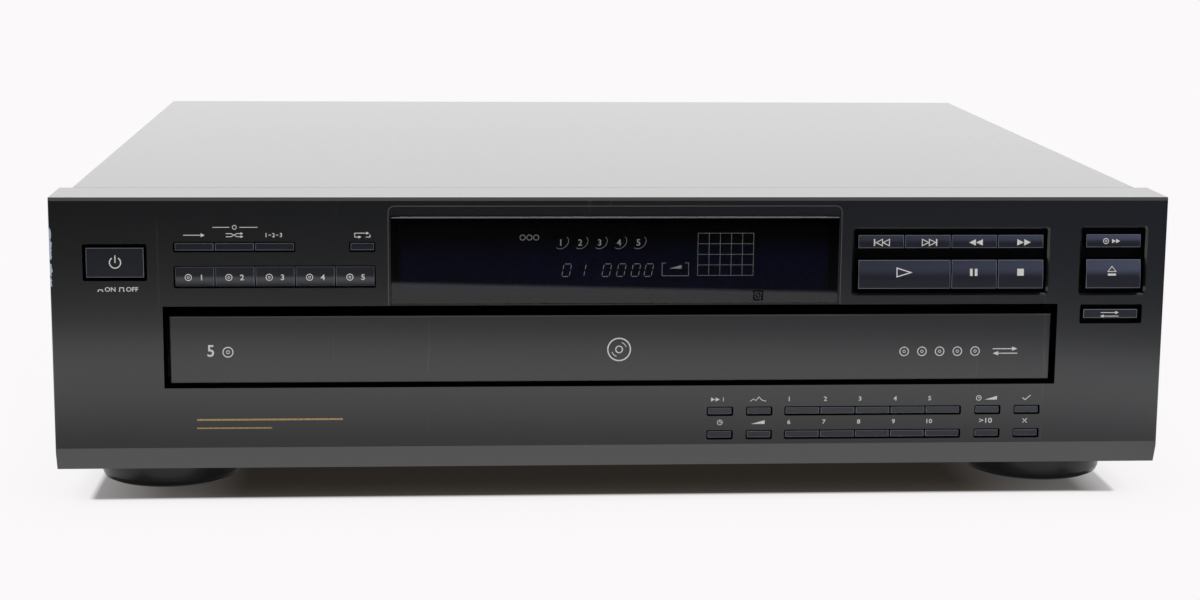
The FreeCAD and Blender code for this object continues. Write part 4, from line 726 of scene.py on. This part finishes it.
# ---------------------------------------------------------------- studio
@dataclass
class Studio:
    """White table and room, soft lamps, and the camera.

    Attributes:
        yaw: turn towards +X, degrees.
        pitch: tilt down, degrees.
        roll: roll, degrees.
        lens_mm: focal length on a 36 mm sensor.
        white: sRGB hex of the background.
        table: sRGB hex of the table as the camera sees it.
        lit_table: sRGB hex of the table where lamps reach it.
        shaded_table: sRGB hex of the table under the deck.
        bounced: sRGB hex of the light that returns to the table under the deck.
        window: sRGB hex of the daylight that gloss sees in front.
        room_level: strength of the room's own light on the deck.
        window_level: strength of that daylight in gloss.
        table_reach: half the table's side, metres.
        footprint_mm: left end, right end and half depth of the deck's shade on the table.
    """

    yaw: float = 3.84
    pitch: float = 10.19
    roll: float = 0.5
    lens_mm: float = 71.16
    white: str = "fefdfd"
    table: str = "fbf9fa"
    lit_table: str = "f2f0f0"
    shaded_table: str = "847a70"
    bounced: str = "302c28"
    window: str = "bcc8f4"
    room_level: float = 0.62
    window_level: float = 2.6
    table_reach: float = 6.0
    footprint_mm: Place = (-199.5, 196.5, 193.2)

    def place_camera(self) -> None:
        """Stands the camera at its place; its axes are the turned right, up and back directions."""
        yaw, pitch, roll = (math.radians(a) for a in (self.yaw, self.pitch, self.roll))
        ahead = np.array([
            math.sin(yaw) * math.cos(pitch), math.cos(yaw) * math.cos(pitch), -math.sin(pitch)])
        right = np.array([math.cos(yaw), -math.sin(yaw), 0.0])
        up = np.cross(right, ahead)
        right, up = math.cos(roll) * right + math.sin(roll) * up, math.cos(roll) * up - math.sin(roll) * right
        camera = bpy.data.objects.new("camera", bpy.data.cameras.new("camera"))
        bpy.context.scene.collection.objects.link(camera)
        camera.data.lens, camera.data.sensor_width, camera.data.clip_start = self.lens_mm, 36.0, 0.01
        matrix = np.eye(4)
        matrix[:3, 0], matrix[:3, 1], matrix[:3, 2], matrix[:3, 3] = right, up, -ahead, np.array(EYE) * MM
        camera.matrix_world = Matrix(matrix.tolist())
        bpy.context.scene.camera = camera

    def fill_room(self) -> None:
        """Sets the world: white to the eye; gloss sees a bright wall behind and a bluish window in front."""
        world = bpy.data.worlds.new("room")
        bpy.context.scene.world = world
        world.use_nodes = True
        tree = world.node_tree
        tree.nodes.clear()
        rays = add_node(tree, "ShaderNodeLightPath")
        direction = add_node(tree, "ShaderNodeTexCoord").outputs["Generated"]
        axes = add_node(tree, "ShaderNodeSeparateXYZ", {0: direction})

        def rise(axis: int, low: float, high: float, top: float = 1.0) -> Socket:
            """A smooth step along one axis, from 0 at low to top at high."""
            span = {"Value": axes.outputs[axis], "From Min": low, "From Max": high, "To Max": top}
            return add_node(tree, "ShaderNodeMapRange", span, interpolation_type="SMOOTHSTEP").outputs[0]

        gloss = math_node(tree, "MAXIMUM", rise(1, -0.25, 0.35), rise(2, 0.35, 0.8, 0.5))
        facing = rise(1, -0.3, -0.7)
        raised = math_node(tree, "MULTIPLY", rise(2, -0.1, 0.12), rise(2, 0.5, 0.28))
        aside = ramp(tree, axes.outputs[0], [
            (0.0, 0.02), (0.1, 0.05), (0.2, 0.15), (0.26, 0.32), (0.3, 0.9), (0.45, 1.0), (0.62, 0.1)])
        blind = math_node(tree, "MULTIPLY", math_node(tree, "MULTIPLY", facing, raised), aside)
        gloss = math_node(tree, "ADD", gloss, math_node(tree, "MULTIPLY", blind, self.window_level))
        tone = blend_colours(tree, math_node(tree, "MULTIPLY", blind, 4.0), linear(self.white),
                             linear(self.window))
        mirrored = math_node(tree, "MAXIMUM", rays.outputs["Is Glossy Ray"],
                             rays.outputs["Is Transmission Ray"])
        level = add_node(tree, "ShaderNodeMix", {0: mirrored, 2: self.room_level, 3: gloss},
                         data_type="FLOAT").outputs[0]
        level = add_node(tree, "ShaderNodeMix", {0: rays.outputs["Is Camera Ray"], 2: level, 3: 1.0},
                         data_type="FLOAT").outputs[0]
        tone = blend_colours(tree, mirrored, linear(self.white), tone)
        background = add_node(tree, "ShaderNodeBackground", {"Color": tone, "Strength": level})
        add_node(tree, "ShaderNodeOutputWorld", {"Surface": background.outputs[0]})

    def lay_table(self) -> None:
        """Lays the table: white outside the shadow, and in gloss a lit sheet about 25 cm deep."""
        left, right, half_y = self.footprint_mm
        reach = self.table_reach
        mesh = bpy.data.meshes.new("table")
        mesh.from_pydata([(-reach, -reach, 0), (reach, -reach, 0), (reach, reach, 0), (-reach, reach, 0)],
                         [], [(0, 1, 2, 3)])
        table = bpy.data.objects.new("table", mesh)
        bpy.context.scene.collection.objects.link(table)
        material, tree, place = new_material("white_table")
        axes = add_node(tree, "ShaderNodeSeparateXYZ", {0: place})
        centred = math_node(tree, "SUBTRACT", axes.outputs[0], 0.5 * (left + right) * MM)
        outside = [math_node(tree, "MAXIMUM", 0.0,
                             math_node(tree, "SUBTRACT", math_node(tree, "ABSOLUTE", along), half * MM))
                   for along, half in ((centred, 0.5 * (right - left)), (axes.outputs[1], half_y))]
        away = math_node(tree, "SQRT",
                         math_node(tree, "ADD", *(math_node(tree, "MULTIPLY", o, o) for o in outside)))
        skewed = math_node(tree, "MULTIPLY", away,
                           math_node(tree, "MULTIPLY_ADD", axes.outputs[0], 0.3, 1.0))
        reflected = ramp(tree, skewed, [
            (0.0, 0.12), (0.004, 0.82), (0.03, 0.74), (0.06, 0.25), (0.095, 0.28), (0.133, 0.5),
            (0.173, 0.8), (0.222, 0.97),
            (0.309, 0.97), (0.315, 0.08), (0.5, 0.0)])
        clear = ramp(tree, away, [(0.0, 0.0), (0.0018, 0.8), (0.012, 0.93), (0.05, 0.98), (0.2, 1.0)])
        for inward, stops in ((math_node(tree, "SUBTRACT", axes.outputs[0], left * MM),
                               [(0.0, 0.26), (0.025, 0.065), (0.055, 0.0)]),
                              (math_node(tree, "SUBTRACT", right * MM, axes.outputs[0]),
                               [(0.0, 0.42), (0.007, 0.25), (0.012, 0.09), (0.03, 0.055), (0.058, 0.0)])):
            clear = math_node(tree, "MAXIMUM", clear, ramp(tree, inward, stops))
        shade = blend_colours(tree, ramp(tree, away, [(0.0, 0.0), (0.002, 1.0)]), linear(self.shaded_table),
                              linear(self.lit_table))
        lit = add_node(tree, "ShaderNodeBsdfDiffuse", {"Color": shade}).outputs[0]
        seen_white = add_node(tree, "ShaderNodeEmission",
                              {"Color": linear(self.table), "Strength": 1.0}).outputs[0]
        mirrored = add_node(tree, "ShaderNodeEmission", {"Color": reflected, "Strength": 1.0}).outputs[0]
        bounced = add_node(tree, "ShaderNodeEmission",
                           {"Color": linear(self.bounced), "Strength": 1.0}).outputs[0]
        under = add_node(tree, "ShaderNodeMixShader", {
            0: ramp(tree, away, [(0.0, 0.6), (0.002, 0.0)]), 1: lit, 2: bounced}).outputs[0]
        to_eye = add_node(tree, "ShaderNodeMixShader", {0: clear, 1: under, 2: seen_white}).outputs[0]
        rays = add_node(tree, "ShaderNodeLightPath")
        bent = math_node(tree, "MAXIMUM", rays.outputs["Is Glossy Ray"],
                             rays.outputs["Is Transmission Ray"])
        other = add_node(tree, "ShaderNodeMixShader", {0: bent, 1: lit, 2: mirrored}).outputs[0]
        close_material(tree, add_node(tree, "ShaderNodeMixShader", {
            0: rays.outputs["Is Camera Ray"], 1: other, 2: to_eye}).outputs[0])
        mesh.materials.append(material)

    def hang_lamps(self) -> None:
        """Hangs a wide lamp over the deck and one beside the camera, both unseen by gloss."""
        for name, place, size, watts in (("overhead", (0.0, -0.2, 1.3), 0.8, 7.0),
                                         ("fill", (1.1, -1.3, 0.85), 0.7, 2.0)):
            lamp = bpy.data.lights.new(name, "AREA")
            lamp.size, lamp.energy = size, watts
            holder = bpy.data.objects.new(name, lamp)
            bpy.context.scene.collection.objects.link(holder)
            holder.location = place
            holder.visible_glossy = False
            holder.rotation_euler = (-Vector(place)).to_track_quat("-Z", "Y").to_euler()

    def build(self) -> None:
        """Sets up the whole studio."""
        bpy.context.scene.view_settings.view_transform = "Standard"
        self.place_camera()
        self.fill_room()
        self.lay_table()
        self.hang_lamps()


# ---------------------------------------------------------------- legends
def eject(drawing: Drawing, x: float, z: float, size: float, line: float) -> None:
    """Adds the open and close sign: an outlined triangle over a bar."""
    half = 0.5 * size
    drawing.stroke([(x - half, z), (x + half, z), (x, z + 0.62 * size)], line, closed=True)
    drawing.block(x - half, z - 0.5 * size, x + half, z - 0.25 * size)


def wedge(x: float, z: float, width: float, height: float) -> Points:
    """A triangle pointing along its width's sign, from x, centred on z."""
    points = [(x, z - 0.5 * height), (x + width, z), (x, z + 0.5 * height)]
    return points if width > 0 else points[::-1]


@dataclass
class FrontLegends:
    """Numbers and signs printed on the front panel, all in millimetres.

    Attributes:
        ink_height: height of a small figure.
        line: width of a printed line.
        number_left: left edge of the first figure of each row.
        number_pitch: from one figure to the next.
        rows: height of the upper and lower row of labels.
        modes: middle of each play mode label and of the repeat label.
    """

    ink_height: float = 1.75
    line: float = 0.26
    number_left: tuple[float, float] = (68.1, 67.7)
    number_pitch: float = 13.76
    rows: tuple[float, float] = (37.4, 28.2)
    modes: tuple[float, ...] = (-160.6, -145.4, -130.2, -97.1)

    def number_row(self, art: Drawing) -> None:
        """Adds 1 to 5 and 6 to 10 over the number keys and >10 over the last key but one."""
        for row, first in ((0, 1), (1, 6)):
            for step in range(5):
                art.number(str(first + step), self.number_left[row] + self.number_pitch * step,
                           self.rows[row], self.ink_height,
                           anchor=0.0, wide=1.15)
        art.number(">10", 146.2, self.rows[1], 2.05, wide=1.2)

    def mode_signs(self, art: Drawing) -> None:
        """Adds the signs over the mode and repeat keys: straight on, crossed, listed and looped."""
        z, w = 103.2, self.line
        a, b, c, d = self.modes
        art.stroke([(a - 4.0, z), (a + 2.6, z)], w).fill(wedge(a + 2.6, z, 1.4, 1.5))
        art.stroke([(b - 3.2, z + 0.6), (b - 1.2, z + 0.6), (b + 1.0, z - 0.6), (b + 2.4, z - 0.6)], w)
        art.stroke([(b - 3.2, z - 0.6), (b - 1.2, z - 0.6), (b + 1.0, z + 0.6), (b + 2.4, z + 0.6)], w)
        art.fill(wedge(b + 2.4, z + 0.6, 1.0, 1.0)).fill(wedge(b + 2.4, z - 0.6, 1.0, 1.0))
        for place, figure in ((-3.2, "1"), (-0.4, "2"), (2.4, "3")):
            art.number(figure, c + place, z - 0.8, 1.6)
        for place in (-1.8, 1.0):
            art.stroke([(c + place - 0.45, z), (c + place + 0.45, z)], w)
        art.stroke([(d - 1.4, z - 0.8), (d - 2.8, z - 0.8), (d - 2.8, z + 0.7), (d + 1.6, z + 0.7)], w)
        art.stroke([(d + 1.4, z - 0.8), (d + 3.0, z - 0.8), (d + 3.0, z + 0.2)], w)
        art.fill(wedge(d - 1.4, z - 0.8, 1.1, 1.1)).fill(wedge(d + 1.6, z + 0.7, 1.1, 1.1))

    def power_signs(self, art: Drawing) -> None:
        """Adds the pushed-in sign with ON and the released sign with OFF under the power key."""
        for x, rise, word in ((-196.2, 0.55, "ON"), (-188.2, 1.35, "OFF")):
            art.stroke([(x - 1.1, 81.7), (x - 0.75, 81.7), (x - 0.75, 81.7 + rise), (x + 0.75, 81.7 + rise),
                        (x + 0.75, 81.7), (x + 1.1, 81.7)], 0.3)
            art.number(word, x + 1.7, 81.55, 1.75, anchor=0.0, wide=1.1)

    def small_key_signs(self, art: Drawing) -> None:
        """Adds the signs over the small keys: scan, level, clock, fade, tick and cross."""
        z, w = self.rows[0] + 0.85, self.line
        low = self.rows[1] + 0.85
        art.fill(wedge(37.6, z, 1.6, 1.6)).fill(wedge(39.4, z, 1.6, 1.6))
        art.stroke([(42.4, z - 0.8), (42.4, z + 0.8)], w)
        art.stroke([(53.0, z - 0.8), (54.2, z + 0.1), (55.2, z - 0.5), (56.4, z + 0.9), (57.6, z - 0.4),
                    (59.2, z - 0.8)], w)
        art.arc(41.2, low, 0.95, w).stroke([(41.2, low + 0.6), (41.2, low), (41.8, low)], w)
        art.fill([(53.4, low - 0.7), (58.8, low - 0.7), (58.8, low + 0.8)])
        art.arc(143.2, z, 0.95, w).stroke([(143.2, z + 0.6), (143.2, z), (143.8, z)], w)
        art.fill([(145.6, z - 0.7), (150.4, z - 0.7), (150.4, z + 0.8)])
        art.stroke([(160.6, z), (161.6, z - 0.8), (163.8, z + 1.0)], 0.34)
        art.stroke([(160.9, low - 0.8), (162.7, low + 0.9)], 0.3)
        art.stroke([(160.9, low + 0.9), (162.7, low - 0.8)], 0.3)

    def build(self, printer: Printer, white: Material, gold: Material) -> None:
        """Prints the panel: white figures and signs, and two thin gold rules at the lower left."""
        art = Drawing()
        self.number_row(art)
        self.mode_signs(art)
        self.power_signs(art)
        self.small_key_signs(art)
        art.stroke([(-153.5, 106.2), (-147.2, 106.2)], 0.24)
        art.stroke([(-143.4, 106.2), (-136.6, 106.2)], 0.24)
        art.arc(-145.3, 106.2, 0.75, 0.24)
        printer.lay("panel_legends", art, "front_panel", "deck", white, depth=FACE_Y)
        rules = Drawing().stroke([(-160.9, 31.4), (-105.1, 31.4)], 0.7)
        rules.stroke([(-160.9, 28.1), (-132.3, 28.1)], 0.5)
        printer.lay("panel_gold_rules", rules, "front_panel", "deck", gold, depth=FACE_Y)


@dataclass
class KeyLegends:
    """Signs printed on the keys themselves; each rides on its own key."""

    line: float = 0.42

    def signs(self) -> dict[str, Drawing]:
        """The drawing for each key that carries one, in millimetres."""
        w, up, low = self.line, 99.85, 88.4
        signs = {name: Drawing() for name in (
            "power_button", "previous_key", "next_key", "rewind_key", "forward_key", "play_key",
            "pause_key", "stop_key",
            "disc_skip_key", "open_close_key", "exchange_key")}
        signs["power_button"].arc(-190.5, 92.6, 2.1, 0.42, 125.0, 415.0)
        signs["power_button"].stroke([(-190.5, 92.5), (-190.5, 95.4)], 0.42)
        previous, following = signs["previous_key"], signs["next_key"]
        previous.stroke([(100.2, up - 1.35), (100.2, up + 1.35)], 0.5)
        following.stroke([(124.5, up - 1.35), (124.5, up + 1.35)], 0.5)
        for step in (0.0, 2.75):
            previous.stroke([(103.3 + step, up - 1.25), (103.3 + step, up + 1.25), (100.8 + step, up)],
                            0.34, closed=True)
            following.stroke([(118.9 + step, up + 1.25), (118.9 + step, up - 1.25), (121.4 + step, up)],
                             0.34, closed=True)
            signs["rewind_key"].fill(wedge(139.9 + step, up, -2.6, 2.5))
            signs["forward_key"].fill(wedge(156.2 + step, up, 2.6, 2.5))
        signs["play_key"].stroke([(109.0, low + 1.7), (109.0, low - 1.7), (114.4, low)], w, closed=True)
        for left in (137.6, 139.5):
            signs["pause_key"].block(left, low - 1.4, left + 1.05, low + 1.4)
        signs["stop_key"].block(156.2, low - 1.35, 158.8, low + 1.35)
        skip, swap = signs["disc_skip_key"], signs["exchange_key"]
        skip.arc(191.2, 100.3, 1.0, 0.3).arc(191.2, 100.3, 0.3, 0.2).fill(wedge(193.6, 100.3, 1.6, 1.7))
        skip.fill(wedge(195.2, 100.3, 1.6, 1.7))
        eject(signs["open_close_key"], 193.6, 88.6, 3.2, 0.27)
        swap.stroke([(190.4, 72.0), (196.2, 72.0)], 0.28).fill(wedge(196.2, 72.0, 1.4, 1.3))
        swap.stroke([(191.6, 70.6), (197.6, 70.6)], 0.28).fill(wedge(191.6, 70.6, -1.4, 1.3))
        for disc in range(5):
            left = -168.0 + 15.3 * disc
            sign = signs[f"disc_key_{disc + 1}"] = Drawing()
            sign.arc(left + 4.9, 86.8, 1.2, 0.3).arc(left + 4.9, 86.8, 0.38, 0.22)
            sign.number(str(disc + 1), left + 9.9, 85.7, 2.2, wide=1.1)
        return signs

    def build(self, printer: Printer, white: Material) -> None:
        """Prints every key."""
        for key, drawing in self.signs().items():
            printer.lay(f"{key}_sign", drawing, key, key, white)


# ---------------------------------------------------------------- drawer, display and inside
@dataclass
class DrawerMarks:
    """Plain marks on the drawer's door, in millimetres."""

    door_line: float = 0.36

    def build(self, printer: Printer, white: Material) -> None:
        """Prints a 5 with a ring, a ring in the middle, and five rings with two arrows."""
        art = Drawing().number("5", -156.4, 56.1, 4.6, anchor=0.0, wide=0.95)
        art.arc(-148.6, 57.9, 1.9, 0.4).arc(-148.6, 57.9, 0.6, 0.3)
        art.arc(1.5, 58.3, 4.4, 0.5).arc(1.5, 58.3, 1.3, 0.4)
        art.arc(1.5, 58.3, 2.9, 0.28, 20.0, 70.0).arc(1.5, 58.3, 2.9, 0.28, 200.0, 250.0)
        for step in range(5):
            art.arc(113.0 + 7.0 * step, 57.0, 1.7, self.door_line).arc(113.0 + 7.0 * step, 57.0, 0.5, 0.25)
        art.stroke([(148.0, 57.9), (155.6, 57.9)], self.door_line).fill(wedge(155.6, 57.9, 2.2, 1.7))
        art.stroke([(150.2, 56.1), (157.8, 56.1)], self.door_line).fill(wedge(150.2, 56.1, -2.2, 1.7))
        printer.lay("door_marks", art, "tray_door", "drawer", white)


@dataclass
class Carousel:
    """Moulded numbers beside the five disc wells, in millimetres of the carousel's own plane.

    Attributes:
        centre: the carousel's middle in the row frame.
        deck: height of its deck.
        ring: radius at which the numbers stand.
        size: height of a number.
    """

    centre: tuple[float, float] = (0.0, 3.85)
    deck: float = 59.5
    ring: float = 150.0
    size: float = 7.0

    def build(self, white: Material) -> None:
        """Makes the numbers: each is drawn flat, turned outwards and laid on the web beside its well."""
        points, faces, count = [], [], 0
        for disc in range(5):
            art = Drawing().number(str(disc + 1), 0.0, -0.5 * self.size, self.size)
            flat = np.vstack(art.points)
            turn = math.radians(90.0 + 36.0 + 72.0 * disc)
            out = np.array([math.cos(turn), math.sin(turn)])
            side = np.array([math.sin(turn), -math.cos(turn)])
            across, along = np.outer(flat[:, 0], side), np.outer(flat[:, 1] + self.ring, out)
            ground = np.array(self.centre) + across + along
            points.append(np.column_stack([ground, np.full(len(ground), self.deck + 0.04)]) * MM)
            faces += [[count + i for i in face] for face in art.faces]
            count += len(flat)
        mesh = bpy.data.meshes.new("well_numbers")
        mesh.from_pydata(np.vstack(points).tolist(), [], faces)
        finish_piece("well_numbers", mesh, "carousel", white, thick_mm=0.06)


@dataclass
class DisplayWindow:
    """The display behind the smoked window, in millimetres.

    Attributes:
        card: x and z range of the dark card behind the window.
        card_depth: y of the card's front, row frame.
        tube_depth: y of the figures with their painted glow, row frame.
        frame: half width, top and corner radius of the sunk field round the window.
    """

    card: tuple[float, float, float, float] = (-82.8, 82.8, 79.7, 106.9)
    card_depth: float = -191.6
    tube_depth: float = -192.0
    frame: Place = (87.2, 114.25, 2.4)

    def lit(self) -> Drawing:
        """The figures, which carry a painted glow: six digits, a 5 by 4 grid, 1 to 5 with arcs, a bracketed
        wedge and three rings.
        """
        art = Drawing()
        for figure, x in (("0", -21.0), ("1", -15.4), ("0", -5.6), ("0", 0.0), ("0", 5.6), ("0", 10.6)):
            art.segments(figure, x, 87.2, 2.9, 4.9, 0.2, 0.2)
        for step in range(6):
            art.stroke([(31.4 + 4.3 * step, 87.5), (31.4 + 4.3 * step, 104.0)], 0.11)
        for step in range(5):
            art.stroke([(31.3, 87.5 + 4.125 * step), (53.0, 87.5 + 4.125 * step)], 0.11)
        for disc in range(5):
            x = -21.4 + 7.45 * disc
            art.number(str(disc + 1), x, 99.2, 2.5)
            art.arc(x + 0.4, 100.5, 2.5, 0.14, -125.0, 55.0, lean=0.25)
        for x, side in ((17.7, 1.0), (27.9, -1.0)):
            art.stroke([(x + 1.5 * side, 92.4), (x, 92.4), (x, 87.4)], 0.15)
        art.stroke([(17.7, 87.4), (27.9, 87.4)], 0.15)
        art.fill([(20.4, 90.2), (25.2, 90.2), (25.2, 91.6)])
        for step in range(3):
            art.arc(-36.0 + 2.6 * step, 102.4, 1.0, 0.24)
        return art

    def carry_back(self, art: Drawing, depth: float) -> Drawing:
        """Carries marks back from the face: eye + (p - eye) * (depth - eye) / (face - eye)."""
        scale = (depth - EYE[1]) / (FACE_Y - EYE[1])
        art.points = [(p - (EYE[0], EYE[2])) * scale + (EYE[0], EYE[2]) for p in art.points]
        return art

    def build(self, printer: Printer, glow: Material, card: Material, dark: Material,
              edge: Material, polished: Material) -> None:
        """Makes the card with its painted sheen, the figures with their painted glow, the painted highlight
        round the window and the painted glint on its top edge, and the receiver's mark.
        """
        left, right, low, high = self.card
        # The card carries the painted sheen seen through the window.
        mesh = bpy.data.meshes.new("display_card")
        steps = np.linspace(0.0, 1.0, 9)
        across, up = np.meshgrid(left + (right - left) * steps, low + (high - low) * steps)
        depth = np.full(across.size, self.card_depth)
        count = len(steps)
        first = (np.arange(count - 1)[:, None] * count + np.arange(count - 1)).ravel()
        mesh.from_pydata((np.column_stack([across.ravel(), depth, up.ravel()]) * MM).tolist(), [],
                         np.column_stack([first, first + 1, first + count + 1, first + count]).tolist())
        finish_piece("display_card", mesh, "deck", card, thick_mm=0.3)
        printer.lay("display_figures", self.carry_back(self.lit(), self.tube_depth), "key_board", "deck",
                    glow, depth=self.tube_depth)
        # Painted highlight: a lighter bead along the sunk field round the window, where its edge catches the
        # light.
        corner = [(math.cos(math.radians(t)), math.sin(math.radians(t))) for t in range(0, 91, 15)]
        half, top, radius = self.frame
        right_side = [(half, 75.9)] + [
            (half - radius + radius * c, top - radius + radius * s) for c, s in corner]
        rim = Drawing().stroke(right_side + [(-x, z) for x, z in right_side[::-1]], 0.3)
        printer.lay("window_frame_highlight", rim, "front_panel", "deck", edge, depth=FACE_Y)
        # Painted glint: a light grey strip along the window's top edge stands in for the light it catches.
        glint = Drawing().stroke([(-85.9, 109.95), (85.9, 109.95)], 0.32)
        printer.lay("window_top_glint", glint, "display_window", "deck", polished)
        mark = Drawing().stroke([(53.6, 77.6), (56.8, 77.6), (56.8, 81.2), (53.6, 81.2)], 0.7, closed=True)
        mark.arc(55.2, 79.4, 0.8, 0.5)
        printer.lay("receiver_mark", mark, "display_window", "deck", dark)


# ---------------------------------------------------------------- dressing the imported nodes
PANEL = PanelPaint("satin_black_paint_on_abs", "0d0e10", "111214", grain_mm=0.5, roughness=(0.26, 0.34),
                   relief_mm=0.004,
                   coat=1.0, coat_roughness=0.14, specular=0.85)
COVER = Finish("textured_black_steel_paint", "313032", "242325", grain_mm=0.7, roughness=(0.28, 0.36),
               relief_mm=0.02,
               coat=1.0, coat_roughness=0.14, specular=1.0)
ZINC = Finish("zinc_plated_sheet", "a9abab", "8f9294", grain_mm=9.0, roughness=(0.3, 0.45), relief_mm=0.002,
              metallic=1.0, grain=Grain.SPANGLED)
KEY = KeyPlastic("blue_black_moulded_abs", "14161e", "1a1d28", grain_mm=0.35, roughness=(0.28, 0.36),
                 relief_mm=0.003, coat=1.0,
                 coat_roughness=0.16)
RUBBER = Finish("black_foot_plastic", "0b0b0c", "121213", grain_mm=0.9, roughness=(0.28, 0.38),
                relief_mm=0.008, coat=0.2)
SCREW = Finish("black_zinc_screw", "26262a", "3c3c40", grain_mm=0.3, roughness=(0.3, 0.45), relief_mm=0.003,
               metallic=1.0)
FRAME = Finish("grey_moulded_frame", "2a2b2d", "36373a", grain_mm=1.2, roughness=(0.4, 0.55),
               relief_mm=0.01)
TRAY = Finish("black_moulded_tray", "1b1c1e", "232427", grain_mm=1.0, roughness=(0.38, 0.5),
              relief_mm=0.012)
DECK = Finish("charcoal_moulded_carousel", "26272a", "303135", grain_mm=1.0, roughness=(0.36, 0.46),
              relief_mm=0.012)
GEAR = Finish("ivory_moulded_acetal", "d8d4c4", "c9c4b1", grain_mm=1.5, roughness=(0.3, 0.4),
              relief_mm=0.004)
PICKUP = Finish("black_cast_pickup", "1c1d20", "2c2d31", grain_mm=0.5, roughness=(0.35, 0.5),
                relief_mm=0.004)
MOTOR = Finish("brushed_motor_steel", "b6b7b8", "95979a", grain_mm=0.3, roughness=(0.25, 0.4),
               relief_mm=0.002,
               metallic=1.0, grain=Grain.BRUSHED)
# Painted highlight: lighter grey for the bead round the window.
FRAME_HIGHLIGHT = Finish("painted_frame_highlight", "4c4d50", "5a5b5e", grain_mm=0.5, roughness=(0.25, 0.35), relief_mm=0.002,
              coat=0.6)
# Painted glint: light grey for the strip along the window's top edge.
TOP_GLINT = Finish("painted_acrylic_glint", "a8a7a2", "8e8d89", grain_mm=1.5, roughness=(0.1, 0.2),
                  relief_mm=0.001)
# Painted sheen: the card's blue stands in for the bluish sheen seen in the middle of the window.
SHEEN_CARD = SheenCard("painted_sheen_card", "3e4c8c", "1c2444", grain_mm=2.0, roughness=(0.6, 0.7), relief_mm=0.002,
                  specular=0.0)
MAIN_BOARD = BoardFinish("main_circuit_board", "1f5a37", "28663f", grain_mm=0.6, zones=(
    ((-200.0, -60.0, 21.2), (100.0, 186.5, 120.0), "1d1d20", 0.0),
    ((-200.0, 187.2, 0.0), (-60.0, 210.0, 120.0), "b9b4a2", 0.9),
    ((100.0, 90.0, 0.0), (210.0, 150.0, 120.0), "8c8a86", 0.7),
    ((130.0, 170.0, 0.0), (170.0, 210.0, 60.0), "19191b", 0.0)))
KEY_BOARD = BoardFinish("key_circuit_board", "2a5a2c", "336636", grain_mm=0.6, zones=(
    ((-215.0, -200.0, 0.0), (215.0, -183.3, 120.0), "1a1a1c", 0.0),))
WHITE_INK = Ink("off_white_ink", "dedddb", "c2c1bf")
GOLD_INK = Ink("gold_ink", "b59a6c", "8d7650")
DARK_INK = Ink("dark_ink", "0d0d10", "15151a")
# Painted glow: the display is unlit, and its figures get a faint emission so that they show through the
# window.
PAINTED_GLOW = Ink("phosphor", "b4b8a2", "8e937f", glow=1.1)

NODE_FINISHES: dict[str, Any] = {
    "top_cover": COVER, "rear_panel": COVER, "front_panel": PANEL, "tray_door": PANEL, "chassis": ZINC,
    "feet": RUBBER,
    "case_screws": SCREW, "display_window": SmokedAcrylic(), "key_board": KEY_BOARD,
    "main_board": MAIN_BOARD,
    "mechanism_frame": FRAME, "disc_clamp": FRAME, "loading_motor": MOTOR, "table_motor": MOTOR,
    "pickup_base": MOTOR,
    "tray": TRAY, "carousel": DECK, "table_gear": GEAR, "loading_gear": GEAR, "loading_pinion": GEAR,
    "spindle_hub": GEAR,
    "optical_pickup": PICKUP,
}


def dress_nodes(nodes: dict[str, bpy.types.Object]) -> None:
    """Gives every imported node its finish; what isn't listed is a key.

    Args:
        nodes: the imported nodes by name.
    """
    made: dict[str, Material] = {}
    for name, node in sorted(nodes.items()):
        finish = NODE_FINISHES.get(name, KEY)
        material = made.get(finish.name) or made.setdefault(finish.name, finish.build())
        if node.material_slots:
            for slot in node.material_slots:
                slot.material = material
        else:
            node.data.materials.append(material)
    LOG.info("dressed %d nodes in %d finishes", len(nodes), len(made))


def main() -> None:
    """Builds the studio, dresses the nodes and makes the new pieces, in that order."""
    logging.basicConfig(level=logging.INFO, format="%(message)s")
    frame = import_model()
    nodes = frame["nodes"]
    Studio().build()
    dress_nodes(nodes)
    printer = Printer(nodes)
    white, gold, dark = WHITE_INK.build(), GOLD_INK.build(), DARK_INK.build()
    FrontLegends().build(printer, white, gold)
    KeyLegends().build(printer, white)
    DrawerMarks().build(printer, white)
    Carousel().build(white)
    DisplayWindow().build(printer, PAINTED_GLOW.build(), SHEEN_CARD.build(), dark, FRAME_HIGHLIGHT.build(), TOP_GLINT.build())


if __name__ == "__main__":
    main()
